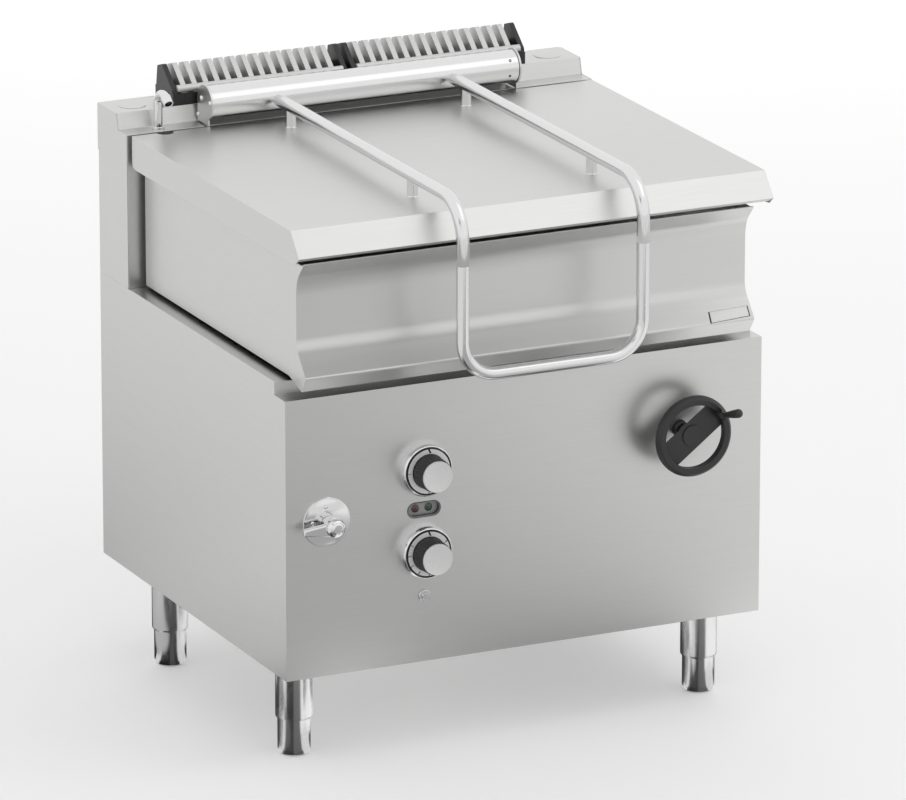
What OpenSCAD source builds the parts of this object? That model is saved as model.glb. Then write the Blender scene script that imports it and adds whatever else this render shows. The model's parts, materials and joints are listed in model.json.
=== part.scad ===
// Free-standing tilting bratt pan: a steel cabinet on four feet, a pan that tips over its front edge,
// a spring-balanced lid hinged to the back of the pan, and a hand wheel that lifts the pan by a screw.
// X runs to the right, Y to the back and Z up. Every module is drawn from the front panel's face at
// Y = 0 and the floor at Z = 0, and placed() moves it so that the origin is under the middle.

/* [Cabinet] */
// Width of the cabinet over its side panels
body_w = 800; // [780:5:860]
// Depth from the front panel's face to the back of the cabinet
body_d = 698; // [690:2:730]
// Height of the cabinet floor above the ground
leg_h = 150; // [130:5:165]
// Height of the deck that the pan rests over
deck_z = 611; // [606:1:616]
// Depth of the front panel's folded box
front_t = 39; // [36:1:42]
// Height of the recess between the front panel and the deck
recess_h = 20; // [18:1:24]
// Thickness of the sheet steel
sheet = 1.5; // [1:0.1:2]

/* [Rear column] */
// Depth of the column from front to back
column_d = 110; // [108:1:112]
// Depth of the ledge on the column
ledge_d = 34; // [32:1:36]
// Height of the ledge
ledge_z = 857.5; // [855:0.5:860]
// Height of the column's top
column_z = 883; // [880:1:888]
// How far the steep face between ledge and top leans back
slope_run = 7; // [5:1:9]
// How far the back trim stands behind the cabinet
trim_t = 7; // [5:1:10]
// Height of the back trim
trim_h = 76; // [60:2:90]
// Diameter of the two flush plugs on the column's top
plug_d = 44; // [38:1:48]

/* [Flue grille] */
// Distance of each end cap from the cabinet's side
flue_inset = 97; // [92:1:105]
// Height of the grille above the column's top
flue_h = 57.5; // [50:0.5:60]
// Number of fins in each half
fins = 14; // [11:1:15]
// Gap between neighbouring fins
slot_w = 10.8; // [9:0.1:12]
// Thickness of each end cap
cap_t = 8; // [6:1:10]
// Width of the capped joint in the middle
mid_w = 24; // [20:1:32]
// Radius of the rounded front rail
rail_r = 6; // [5:0.5:7]

/* [Pan] */
// Distance of the pan's side casing from the cabinet's side
pan_inset = 24.3; // [22:0.1:30]
// Gap between the casing's back and the column
pan_gap = 13.8; // [12:0.2:16]
// Height of the pan's rim
rim_z = 802; // [800:0.5:803]
// Height of the casing's lower edge
skirt_z = 618; // [616:0.5:620]
// Distance of the well from the side casing
well_inset = 30.7; // [28.7:0.5:45.7]
// Distance of the well behind the front panel's face
well_front_y = 30; // [28:1:36]
// Distance of the well from the casing's back
well_gap = 28.2; // [24.2:1:40.2]
// Height of the well's floor
floor_z = 668; // [666:1:672]
// Wall of the well
well_t = 2; // [1.5:0.5:3]
// Radius of the well's upright corners
well_r = 30; // [20:2:40]
// Place of the seam between side casing and front cheek
seam_y = 38; // [34:1:42]

/* [Tilting] */
// Distance of the tilting axis behind the front panel's face
pivot_y = 4; // [3:0.5:5]
// Height of the tilting axis
pivot_z = 634; // [633:0.5:635]
// Largest tilt in degrees
tilt_max = 72; // [60:1:72]
// Length of the lifting arm from the tilting axis to its roller
arm_len = 196; // [190:1:200]
// Diameter of the pivot pins
pivot_d = 12; // [10:0.5:14]
// Distance of each pivot from the cabinet's side
pivot_inset = 60; // [56:2:80]
// Diameter of the lifting screw
screw_d = 20; // [18:0.5:22]
// Diameter of the lifting roller
roller_d = 20; // [18:1:22]
// Pitch radius of the two bevel gears
bevel_r = 22; // [21:0.5:23]
// Number of teeth on each bevel gear
bevel_teeth = 16; // [14:2:18]

/* [Hand wheel] */
// Distance of the wheel's axis from the cabinet's side
wheel_inset = 141; // [130:1:160]
// Height of the wheel's axis
wheel_z = 464; // [460:1:467]
// Outer diameter of the rim
wheel_d = 128; // [120:1:132]
// Distance of the rim's front face from the panel
wheel_reach = 57; // [54:1:60]
// Depth of the rim
rim_t = 13; // [10:1:15]
// Width of the rim's front face
rim_face = 14; // [12:1:16]
// Width of the web across the wheel
web_w = 41; // [36:1:46]
// Turn of the web from the horizontal in degrees
web_turn = 37; // [0:1:60]
// Diameter of the hub
hub_d = 33; // [30:1:36]
// Diameter of the wheel's shaft
shaft_d = 14; // [12:0.5:16]
// Length of the folding grip
grip_len = 40; // [34:1:40]
// Diameter of the folding grip
grip_d = 14.8; // [12:0.2:16]
// Outward lean of the grip in degrees
grip_lean = 28; // [10:1:35]

/* [Lid] */
// Distance of the lid's side from the cabinet's side
lid_inset = 4.5; // [2:0.5:10]
// Gap between the lid's back and the column
lid_gap = 10.6; // [10:0.2:11]
// Height of the lid's flat top
lid_z = 858.5; // [856:0.5:860]
// How far the flat top reaches in front of the panel
lid_front = 12; // [8:1:16]
// How far the sloped nose reaches beyond the flat top
nose_run = 31; // [26:1:34]
// Drop of the sloped nose
nose_drop = 36.8; // [32:0.2:40]
// Height of the lid's skirt
lid_skirt_h = 51.5; // [50:0.5:52]

/* [Lid hinge and handle] */
// How far the hinge axis stands behind the column's front
hinge_over = 5; // [4.5:0.5:5.5]
// Height of the hinge axis
hinge_z = 893; // [892:0.5:896]
// Distance of the hinge tube's ends from the cabinet's side
hinge_inset = 137.5; // [130:2.5:150]
// Radius of the hinge tube
hinge_r = 26.3; // [25:0.1:27]
// Diameter of the hinge shaft
hinge_shaft_d = 16; // [14:1:20]
// Diameter of the handle tube
handle_d = 20; // [18:0.5:22]
// Distance of each handle leg from the middle
handle_x = 150; // [130:2:170]
// Height of the handle's level legs
handle_z = 890.5; // [889:0.5:893]
// Reach of the drop legs in front of the panel
handle_front = 90.8; // [86:0.2:94]
// Height of the bottom bar
handle_low = 621.5; // [618:0.5:630]
// Bend radius at the front
bend_front = 62; // [50:1:68]
// Bend radius at the bottom corners
bend_low = 55; // [40:1:60]
// Diameter of the posts under the handle
post_d = 17; // [14:0.5:18]
// Place of the front posts
post_front_y = 85; // [70:1:100]
// Distance of the rear posts before the hinge axis
post_rear = 67; // [63:1:93]

/* [Controls] */
// Distance of the two knobs from the cabinet's side
knob_inset = 229; // [220:1:240]
// Height of the upper knob
knob_top_z = 456.7; // [450:0.1:464]
// Height of the lower knob
knob_low_z = 326.4; // [320:0.1:332]
// Diameter of the chrome bezel
bezel_d = 84; // [80:1:88]
// Depth of the chrome bezel
bezel_t = 17; // [14:0.5:18]
// Diameter of the dial skirt on each knob
dial_d = 74.5; // [70:0.5:76]
// Diameter of the knob's grip
knob_d = 54; // [50:0.5:58]
// Distance of the knob's face from the panel
knob_reach = 51; // [46:0.5:54]
// Height of the pilot lights' window
pilot_z = 392; // [388:1:396]
// Length of the pilot lights' window
pilot_w = 56; // [50:1:60]
// Height of the window's opening
pilot_h = 25; // [22:0.5:28]
// Height of the safety reset
reset_z = 255.2; // [245:0.2:265]
// Diameter of the safety reset's ring
reset_d = 18; // [16:0.5:20]
// Travel of the reset button
reset_travel = 3; // [2:0.5:3]

/* [Water] */
// Distance of the tap from the cabinet's side
tap_inset = 67.3; // [64:0.1:72]
// Height of the tap
tap_z = 394; // [388:1:400]
// Diameter of the tap's domed plate
tap_d = 78; // [74:1:84]
// Length of the lever from the tap's axis
lever_len = 49; // [44:1:54]
// Distance of the spout from the cabinet's side
spout_inset = 60; // [58:1:64]
// Diameter of the water tube
tube_d = 14; // [12:0.5:15]
// How far the spout's upright stands behind the column's front
spout_over = 15; // [14:0.5:16]
// Bend radius of the spout
spout_r = 20; // [18:0.5:21]
// Diameter of the threaded water inlet
inlet_d = 20.9; // [20:0.1:22]
// Height of the water inlet
inlet_z = 250; // [230:5:280]
// Bore of the cable gland
gland_bore = 14; // [12:1:16]

/* [Feet] */
// Diameter of the adjustable foot
foot_d = 50.6; // [46:0.2:52]
// Diameter of the fixed sleeve
sleeve_d = 57; // [54:0.5:60]
// Distance of each foot's axis from the cabinet's side
foot_inset = 55; // [50:1:60]
// Distance of the front feet from the front panel's face
foot_front_y = 95; // [85:1:105]
// Distance of the rear feet from the cabinet's back
foot_rear = 134.5; // [120:0.5:148]
// Height of the sleeve's lower edge
sleeve_z = 58; // [50:1:62]
// How far each foot screws in and out
foot_travel = 20; // [10:1:25]

/* [Hidden] */
$fn = 64;

// Clearances
running = 0.05;
free = 1;
lap = 0.01;

// Cabinet
half_w = body_w / 2;
inner_w = half_w - sheet;
panel_top = deck_z - recess_h;
flange_h = 25;
louvre_w = 90;
louvre_h = 8;
louvre_pitch = 22;
louvre_x = 150;
louvre_drop = 180;
web_h = 40;
front_reach = handle_front + handle_d / 2;
y_mid = (body_d + trim_t - front_reach) / 2;

// Rear column outline
column_y = body_d - column_d;
slope_y = column_y + ledge_d;
column_top_y = slope_y + slope_run;

// Edge of the flange by which the column stands on the deck
spout_y = column_y + spout_over;
flange_y = spout_y - tube_d / 2 - free;

// Flue grille
flue_w = body_w - 2 * flue_inset;
section_w = (flue_w - mid_w) / 2 - cap_t;
first_gap = 9;
last_gap = 13;
fin_pitch = (section_w - first_gap - last_gap + slot_w) / fins;
fin_t = fin_pitch - slot_w;
strip_h = 19;
bar_t = 6;
bar_h = 8;
brow_run = 4;
brow_rise = 25;
peak_run = 43;
peak_r = 5;
tail_run = 61;
tail_drop = 6;
rail_z = column_z + strip_h + rail_r;
rail_y = column_top_y + rail_r;

// Pan
pan_half = half_w - pan_inset;
pan_back_y = column_y - pan_gap;
well_w = 2 * (pan_half - well_inset);
well_back_y = pan_back_y - well_gap;
well_mid_y = (well_front_y + well_back_y) / 2;
rod_d = 8.5;
rod_bend = 30;
rod_pitch = 150;
rod_inset = 60;
tray_top = floor_z - well_t - rod_d;
tray_h = 9.4;

// Tilting mechanism
pivot_x = half_w - pivot_inset;
arm_start = -tilt_max / 2;
wheel_x = half_w - wheel_inset;
roller_y = pivot_y + arm_len * cos(arm_start);
roller_z = pivot_z + arm_len * sin(arm_start);
screw_y = pivot_y + arm_len * (1 + cos(arm_start)) / 2;
lift = 2 * arm_len * sin(tilt_max / 2);
head_w = 30;
head_wall = 7;
slot_half_z = roller_d / 2 + 4.6;
slot_half_y = arm_len * (1 - cos(arm_start)) / 2 + roller_d / 2 + 2 * free;
head_low = roller_z - slot_half_z - head_wall;
arm_t = 8;
arm_x = head_w / 2 + free;
boss_r = pivot_d / 2 + 5;
finger_t = 8;
gusset_t = 4;
gear_low = wheel_z - bevel_r;
box_half_x = 42;
box_half_y = 40;
box_wall = 4;
box_low = gear_low - 22;
box_high = head_low - free;
nut_d = 34;
screw_tail = 12;
arm_edge = 13;

// Hand wheel
wheel_y = -wheel_reach;
ear_r = 5;
ear_t = 3;
ear_x = 6;
hub_y = wheel_y + rim_t + 2;
web_t = 4;
pin_d = 4;
grip_radius = wheel_d / 2 - rim_face + 2;
grip_lift = 6;

// Lid
lid_half = half_w - lid_inset;
lid_back_y = column_y - lid_gap;
lid_back_z = lid_z - lid_skirt_h;
nose_y = -lid_front - nose_run;
nose_z = lid_z - nose_drop;
notch_r = 14;
tube_wall = 2;
end_t = 3;
hinge_y = column_y + hinge_over;
hinge_w = body_w - 2 * hinge_inset;
post_rear_y = hinge_y - post_rear;
hanger_y = lid_back_y + 2.1;
hanger_t = 6;
tail_gap = 2;

// Controls
knob_x = knob_inset - half_w;
stem_gap = 4;
reset_neck = reset_d - 5;
reset_rod = reset_d - 8;
reset_lip = 2.5;
pilot_lip = 2;
lens_d = 13;
lens_x = 11;
spindle_d = 8;
spout_top = ledge_z + 39.5;
panel_hole = 12;
tap_x = tap_inset - half_w;
spout_x = spout_inset - half_w;
pipe_d = tube_d - 2;
valve_y = front_t + 12;
valve_back = front_t + 30;
valve_drop = 30;
stem_reach = 12;
tap_dome = 6;
spout_turn = 125;
inlet_y = body_d - 25;
inlet_neck = inlet_d - 2;
undercut = 0.5;
gland_x = half_w - 100;
gland_thread = gland_bore + 8;
gland_nut = gland_bore + 16;
nut_t = 6;
block_w = 110;
block_d = 40;
block_h = 60;

// Feet
foot_rear_y = body_d - foot_rear;
foot_xs = [-half_w + foot_inset, half_w - foot_inset];

function unit(v) = v / norm(v);
function normal(p, i) = let(d = unit(p[i + 1] - p[i])) [-d[1], d[0]];
// Point i of path p moved by t to the left of the path, mitred at its corners
function mitred(p, i, t) =
    let(
        last = len(p) - 1,
        a = normal(p, max(i - 1, 0)),
        b = normal(p, min(i, last - 1)),
        m = a + b
    ) p[i] + m * (2 * t / (m * m));
// Closed outline of a folded sheet that follows path p
function folded(p, t) = concat(p, [for (i = [len(p) - 1:-1:0]) mitred(p, i, t)]);
// Points of a round of radius r in the corner q between p and s
function rounded(p, q, s, r, n = 6) =
    let(
        u = unit(p - q),
        v = unit(s - q),
        half = acos(u * v) / 2,
        c = q + unit(u + v) * r / sin(half),
        a0 = atan2((q + u * r / tan(half) - c)[1], (q + u * r / tan(half) - c)[0]),
        a1 = atan2((q + v * r / tan(half) - c)[1], (q + v * r / tan(half) - c)[0]),
        d = a1 - a0 > 180 ? a1 - a0 - 360 : (a1 - a0 < -180 ? a1 - a0 + 360 : a1 - a0)
    ) [for (i = [0:n]) c + r * [cos(a0 + d * i / n), sin(a0 + d * i / n)]];

// Front profile of the pan, from the pouring lip down to the return edge under the nose
lip = [-16.4, rim_z + 1.8];
front_top = [11.7, rim_z - 12.7];
front_low = [11.7, skirt_z + 49.8];
nose = [-22.3, skirt_z + 10.4];
return_edge = [-6, skirt_z - 13.3];
front_path = concat(
    [lip],
    rounded(lip, front_top, front_low, 18),
    rounded(front_top, front_low, nose, 40),
    rounded(front_low, nose, return_edge, 4),
    [return_edge]
);

// Outline of one fin of the flue grille
brow = [column_top_y + brow_run, column_z + brow_rise];
peak = [column_top_y + peak_run, column_z + flue_h];
tail = [column_top_y + tail_run, column_z + flue_h - tail_drop];
flue_outline = concat(
    [[column_top_y, column_z], brow], rounded(brow, peak, tail, peak_r, 4), [tail, [body_d, column_z]]
);

module placed() { translate([0, -y_mid, 0]) children(); }

// Draws a Y-Z outline and gives it thickness along X from x0 to x1
module along_x(x0, x1) {
    translate([x0, 0, 0]) rotate([90, 0, 90]) linear_extrude(x1 - x0) children();
}

// A block between two corners
module block(a, b) { translate(a) cube(b - a); }

// A round bar from a point along X, Y or Z
module bar_x(p, d, len) { translate(p) rotate([0, 90, 0]) cylinder(d = d, h = len); }
module bar_y(p, d, len) { translate(p) rotate([-90, 0, 0]) cylinder(d = d, h = len); }
module bar_z(p, d, len) { translate(p) cylinder(d = d, h = len); }

// A quarter bend of a round bar in the Y-Z plane about the origin, from the given angle on
module quarter(r, d, from) {
    rotate([90, 0, 90]) rotate([0, 0, from]) rotate_extrude(angle = 90) translate([r, 0]) circle(d = d);
}

module base_tray() {
    y1 = body_d - sheet;
    color("silver") placed() difference() {
        block([-inner_w, front_t, leg_h], [inner_w, y1, leg_h + flange_h]);
        block([-inner_w + sheet, front_t + sheet, leg_h + sheet],
            [inner_w - sheet, y1 - sheet, leg_h + flange_h + 1]);
    }
}

module side_panel(x0) {
    color("silver") placed()
        block([x0, front_t, leg_h], [x0 + sheet, body_d, deck_z]);
}
module side_panel_left() { side_panel(-half_w); }
module side_panel_right() { side_panel(inner_w); }

// The window of the pilot lights, as a flat round-ended shape in X and Z
module window(w, h) {
    square([w - h, h], center = true);
    for (side = [-1, 1]) translate([side * (w - h) / 2, 0]) circle(d = h);
}
// Cuts from the panel's face to depth t
module through_panel(t) { rotate([90, 0, 0]) translate([0, 0, -t]) linear_extrude(2 * t) children(); }

module front_panel() {
    color("silver") placed() difference() {
        block([-half_w, 0, leg_h], [half_w, front_t, panel_top]);
        block([-half_w + sheet, sheet, leg_h + sheet], [half_w - sheet, front_t + 1, panel_top - sheet]);
        for (z = [knob_top_z, knob_low_z]) bar_y([knob_x, -1, z], panel_hole, sheet + 2);
        bar_y([tap_x, -1, tap_z], tube_d + stem_gap, sheet + 2);
        bar_y([knob_x, -1, reset_z], reset_neck, sheet + 2);
        bar_y([wheel_x, -1, wheel_z], shaft_d + 10, sheet + 2);
        translate([knob_x, 0, pilot_z]) through_panel(2 * sheet)
            window(pilot_w - 2 * pilot_lip, pilot_h - 2 * pilot_lip);
    }
}

module deck() {
    slot_y0 = roller_y - roller_d / 2 - 24;
    slot_y1 = pivot_y + arm_len + roller_d / 2 + 20;
    color("silver") placed() difference() {
        union() {
            block([-inner_w, front_t, deck_z - sheet], [inner_w, flange_y, deck_z]);
            block([-inner_w, front_t, deck_z - web_h], [inner_w, front_t + sheet, deck_z - sheet]);
        }
        block([wheel_x - arm_x - arm_t - 5, slot_y0, deck_z - 2 * sheet],
            [wheel_x + arm_x + arm_t + 5, slot_y1, deck_z + 1]);
    }
}

module back_panel() {
    low = deck_z - louvre_drop;
    color("silver") placed() difference() {
        block([-inner_w, body_d - sheet, leg_h], [inner_w, body_d, deck_z]);
        for (i = [0:5], side = [-1, 1])
            block([side * louvre_x - louvre_w / 2, body_d - 2 * sheet, low + louvre_pitch * i],
                [side * louvre_x + louvre_w / 2, body_d + free, low + louvre_pitch * i + louvre_h]);
        bar_y([tap_x, body_d - 2 * sheet, inlet_z], inlet_neck + 2 * running, 3 * sheet);
        bar_y([gland_x, body_d - 2 * sheet, inlet_z], gland_thread + 2 * running, 3 * sheet);
    }
}

// Outer line of the column from the deck up over ledge and slope to the back
column_line = [
    [column_y, deck_z], [column_y, ledge_z], [slope_y, ledge_z], [column_top_y, column_z],
    [body_d - sheet, column_z]
];

module column_front() {
    opening_y = column_top_y + 12;
    color("silver") placed() difference() {
        union() {
            along_x(-inner_w, inner_w)
                polygon(folded([for (i = [4:-1:0]) column_line[i]], sheet));
            block([-inner_w, column_y + sheet / 2, deck_z], [inner_w, flange_y, deck_z + sheet]);
        }
        block([-flue_w / 2 + cap_t, opening_y, column_z - 5],
            [flue_w / 2 - cap_t, body_d - 10, column_z + 1]);
        bar_z([spout_x, spout_y, ledge_z - 5], tube_d + 2 * running, 10);
    }
}

module column_side(x0) {
    color("silver") placed() along_x(x0, x0 + sheet) polygon([
        [column_y, deck_z], [column_y, ledge_z], [slope_y, ledge_z], [column_top_y, column_z],
        [body_d, column_z], [body_d, deck_z]
    ]);
}
module column_side_left() { column_side(-half_w); }
module column_side_right() { column_side(inner_w); }

module column_back() {
    color("silver") placed() {
        block([-inner_w, body_d - sheet, deck_z], [inner_w, body_d, column_z]);
        block([-inner_w, body_d - lap, column_z - trim_h], [inner_w, body_d + trim_t, column_z - 1]);
    }
}

module column_plugs() {
    color("gainsboro") placed() for (side = [-1, 1])
        bar_z([side * (half_w - 42), (column_top_y + body_d) / 2, column_z], plug_d, 0.6);
}

module flue_grille(x0) {
    color("gainsboro") placed() {
        difference() {
            for (i = [0:fins - 1]) {
                x = x0 + first_gap + i * fin_pitch;
                along_x(x, x + fin_t) polygon(flue_outline);
            }
            block([x0, 0, column_z - 1], [x0 + section_w, rail_y + rail_r, column_z + strip_h]);
            block([x0, body_d - bar_t, column_z - 1], [x0 + section_w, body_d + 1, column_z + strip_h]);
        }
        bar_x([x0, rail_y, rail_z], 2 * rail_r, section_w);
        block([x0, body_d - 2 * bar_t, column_z + strip_h],
            [x0 + section_w, body_d - bar_t, column_z + strip_h + bar_h]);
    }
}
module flue_grille_left() { flue_grille(-flue_w / 2 + cap_t); }
module flue_grille_right() { flue_grille(mid_w / 2); }

module flue_frame() {
    color("black") placed() {
        for (x = [-flue_w / 2, -mid_w / 2, mid_w / 2 - cap_t, flue_w / 2 - cap_t])
            along_x(x, x + cap_t) polygon(flue_outline);
        block([-flue_w / 2, column_top_y, column_z],
            [flue_w / 2, column_top_y + 4, column_z + strip_h]);
        block([-flue_w / 2, body_d - bar_t, column_z], [flue_w / 2, body_d, column_z + strip_h]);
    }
}

// A swan neck: an upright, a bend over the top and a short run down to its mouth
module spout() {
    mouth_len = 12;
    mouth_lap = 3;
    bore_depth = 10;
    stub = 12;
    color("white") placed() translate([spout_x, spout_y, 0]) difference() {
        union() {
            bar_z([0, 0, ledge_z - stub], tube_d, spout_top - ledge_z + stub);
            bar_z([0, 0, ledge_z], tube_d + 5, 4);
            translate([0, -spout_r, spout_top]) {
                rotate([90, 0, 90]) rotate_extrude(angle = spout_turn)
                    translate([spout_r, 0]) circle(d = tube_d);
                rotate([spout_turn, 0, 0])
                    bar_z([0, spout_r, -mouth_lap], tube_d + 2, mouth_len + mouth_lap);
            }
        }
        translate([0, -spout_r, spout_top]) rotate([spout_turn, 0, 0])
            bar_z([0, spout_r, mouth_len - bore_depth], tube_d - 4, bore_depth + 1);
    }
}

// One line from the tap back and up the column to the spout, and one from the inlet to the tap
module water_pipe() {
    r = 30;
    top = ledge_z - 12;
    color("peru") placed() {
        bar_z([spout_x, spout_y, tap_z + r], pipe_d, top - tap_z - r);
        translate([spout_x, spout_y - r, tap_z + r]) quarter(r, pipe_d, 270);
        bar_y([spout_x, valve_back, tap_z], pipe_d, spout_y - r - valve_back);
        bar_y([tap_x, valve_y + r, inlet_z], pipe_d, inlet_y - valve_y - r);
        translate([tap_x, valve_y + r, inlet_z + r]) quarter(r, pipe_d, 180);
        bar_z([tap_x, valve_y, inlet_z + r], pipe_d, tap_z - valve_drop - inlet_z - r);
    }
}

// A neck through the back panel with a nut inside, and the wider thread for the hose outside
module water_inlet() {
    color("gold") placed() {
        bar_y([tap_x, inlet_y, inlet_z], inlet_neck, body_d + undercut - inlet_y);
        bar_y([tap_x, body_d + undercut, inlet_z], inlet_d, trim_t - undercut);
        translate([tap_x, body_d - sheet - nut_t, inlet_z]) rotate([-90, 0, 0])
            cylinder(d = inlet_d + 10, h = nut_t, $fn = 6);
    }
}

module tap_plate() {
    sphere_r = (tap_d * tap_d / 4 + tap_dome * tap_dome) / (2 * tap_dome);
    color("white") placed() translate([tap_x, 0, tap_z]) rotate([90, 0, 0]) difference() {
        rotate_extrude($fn = 96) intersection() {
            translate([0, tap_dome - sphere_r]) circle(r = sphere_r, $fn = 360);
            square([tap_d / 2, tap_dome]);
        }
        translate([0, 0, -1]) cylinder(d = tube_d + 4 * running, h = tap_dome + 2);
    }
}

module tap_valve() {
    color("gold") placed() {
        bar_y([tap_x, -stem_reach, tap_z], tube_d, stem_reach + valve_y);
        block([tap_x - 20, sheet + 2, tap_z - 14], [tap_x + 20, valve_back, tap_z + 14]);
        bar_z([tap_x, valve_y, tap_z - valve_drop], tube_d, valve_drop);
    }
}

// Round hub with a wedge-shaped lever to the left that slopes back towards the panel
module tap_lever() {
    hub = 30;
    y_back = -tap_dome - 0.2;
    y_face = -43;
    color("white") placed() translate([tap_x, 0, tap_z]) {
        difference() {
            translate([0, y_back, 0]) rotate([90, 0, 0]) rotate_extrude()
                polygon([[0, 0], [hub / 2 - 4, 0], [hub / 2 - 2, 10], [hub / 2, 16], [hub / 2, 29],
                    [hub / 2 - 3, 34], [hub / 2 - 9, -y_face + y_back], [0, -y_face + y_back]]);
            bar_y([0, -stem_reach - free, 0], tube_d + 2 * running, stem_reach);
        }
        rotate([90, 0, 90]) translate([0, 0, -lever_len]) linear_extrude(lever_len - hub / 2 + 4)
            polygon([[-21, -9], [-31, -9], [-31, 6], [-21, 6]]);
    }
}

module bezel(z) {
    rim = (bezel_d - dial_d) / 2;
    color("white") placed() translate([knob_x, 0, z]) rotate([90, 0, 0]) difference() {
        rotate_extrude($fn = 96) polygon([
            [0, 0], [bezel_d / 2, 0], [bezel_d / 2, 4], [bezel_d / 2 - rim / 4, bezel_t - 4],
            [bezel_d / 2 - rim / 2, bezel_t - 1], [bezel_d / 2 - 0.8 * rim, bezel_t], [0, bezel_t]
        ]);
        translate([0, 0, bezel_t - 3]) cylinder(d = dial_d + 1, h = 4, $fn = 96);
        translate([0, 0, -1]) cylinder(d = panel_hole, h = bezel_t + 2);
    }
}
module bezel_upper() { bezel(knob_top_z); }
module bezel_lower() { bezel(knob_low_z); }

// Knob with its dial skirt, grip, steel cap and spindle
module knob(z) {
    skirt_y = bezel_t - 3 + free;
    cap_d = knob_d - 5;
    color("dimgray") placed() translate([knob_x, 0, z]) rotate([90, 0, 0]) {
        translate([0, 0, skirt_y]) cylinder(d = dial_d, h = 3, $fn = 96);
        translate([0, 0, skirt_y + 3 - lap]) rotate_extrude($fn = 96) polygon([
            [0, 0], [knob_d / 2, 0], [cap_d / 2 + 1, knob_reach - skirt_y - 6],
            [cap_d / 2, knob_reach - skirt_y - 4], [cap_d / 2, knob_reach - skirt_y - 3.5],
            [cap_d / 2 - 0.5, knob_reach - skirt_y - 3], [0, knob_reach - skirt_y - 3]
        ]);
        translate([0, 0, -front_t]) cylinder(d = spindle_d, h = front_t + skirt_y + lap);
    }
}
module knob_upper() { knob(knob_top_z); }
module knob_lower() { knob(knob_low_z); }

// A control body behind the panel, bored for the knob's spindle
module control_body(z, w, h, depth) {
    color("ivory") placed() difference() {
        union() {
            block([knob_x - w / 2, sheet + 6, z - h / 2], [knob_x + w / 2, sheet + 6 + depth, z + h / 2]);
            bar_y([knob_x, sheet, z], panel_hole + 8, 6 + lap);
        }
        bar_y([knob_x, 0, z], spindle_d + 2 * running, front_t + free);
    }
}
module selector_switch() { control_body(knob_top_z, 52, 52, 60); }
module thermostat() { control_body(knob_low_z, 44, 40, 44); }

module pilot_bezel() {
    depth = 10;
    color("gray") placed() translate([knob_x, 0, pilot_z]) difference() {
        union() {
            rotate([90, 0, 0]) linear_extrude(1) window(pilot_w, pilot_h);
            rotate([90, 0, 0]) translate([0, 0, -depth]) linear_extrude(depth)
                window(pilot_w - 2 * (pilot_lip + running), pilot_h - 2 * (pilot_lip + running));
        }
        rotate([90, 0, 0]) translate([0, 0, 2 - depth]) linear_extrude(depth)
            window(pilot_w - 4 * pilot_lip, pilot_h - 4 * pilot_lip);
        for (side = [-1, 1]) bar_y([side * lens_x, 0, 0], lens_d + 2 * running, depth + 1);
    }
}
module pilot_lens(side) {
    r = lens_d / 2;
    translate([knob_x + side * lens_x, 0, pilot_z]) rotate([90, 0, 0]) translate([0, 0, -14])
        rotate_extrude() polygon([[0, 0], [r, 0], [r, 8], [r - 1, 9.5], [r - 3, 10.5], [0, 11]]);
}
module pilot_lens_red() { color("firebrick") placed() pilot_lens(-1); }
module pilot_lens_green() { color("seagreen") placed() pilot_lens(1); }

module reset_ring() {
    color("gainsboro") placed() translate([knob_x, 0, reset_z]) difference() {
        union() {
            rotate([90, 0, 0]) cylinder(d = reset_d, h = reset_lip);
            bar_y([0, -lap, 0], reset_neck, 14);
            bar_y([0, 8, 0], reset_d + 8, 30);
        }
        bar_y([0, -4, 0], reset_rod + 2 * running, 20);
    }
}
module reset_button() {
    color("white") placed() bar_y([knob_x, -reset_lip - reset_travel, reset_z], reset_rod, 14);
}

module terminal_block() {
    x0 = gland_x - 50 - block_w;
    y1 = body_d - sheet;
    rib = 6;
    cell = (block_w - 5) / 5;
    color("ivory") placed() difference() {
        block([x0, y1 - block_d, inlet_z - block_h / 2], [x0 + block_w, y1, inlet_z + block_h / 2]);
        for (i = [0:4])
            block([x0 + rib + cell * i, y1 - block_d - 1, inlet_z - block_h / 2 + rib],
                [x0 + cell * (i + 1) - 1, y1 - 22, inlet_z + block_h / 2 - rib]);
    }
}

module cable_gland() {
    color("dimgray") placed() translate([gland_x, body_d, inlet_z]) difference() {
        union() {
            bar_y([0, -12, 0], gland_thread, 16);
            rotate([-90, 0, 0]) cylinder(d = gland_nut, h = nut_t, $fn = 6);
            translate([0, -sheet, 0]) rotate([90, 0, 0]) cylinder(d = gland_nut, h = nut_t - 1, $fn = 6);
        }
        bar_y([0, -13, 0], gland_bore, 20);
    }
}

module wheel_collar() {
    color("black") placed() translate([wheel_x, 0, wheel_z]) difference() {
        union() {
            rotate([90, 0, 0]) cylinder(d = shaft_d + 12, h = 4);
            rotate([90, 0, 0]) cylinder(d = shaft_d + 8, h = 14);
            bar_y([0, -lap, 0], shaft_d + 9, 12);
        }
        bar_y([0, -20, 0], shaft_d + 2 * running, 40);
    }
}

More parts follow.
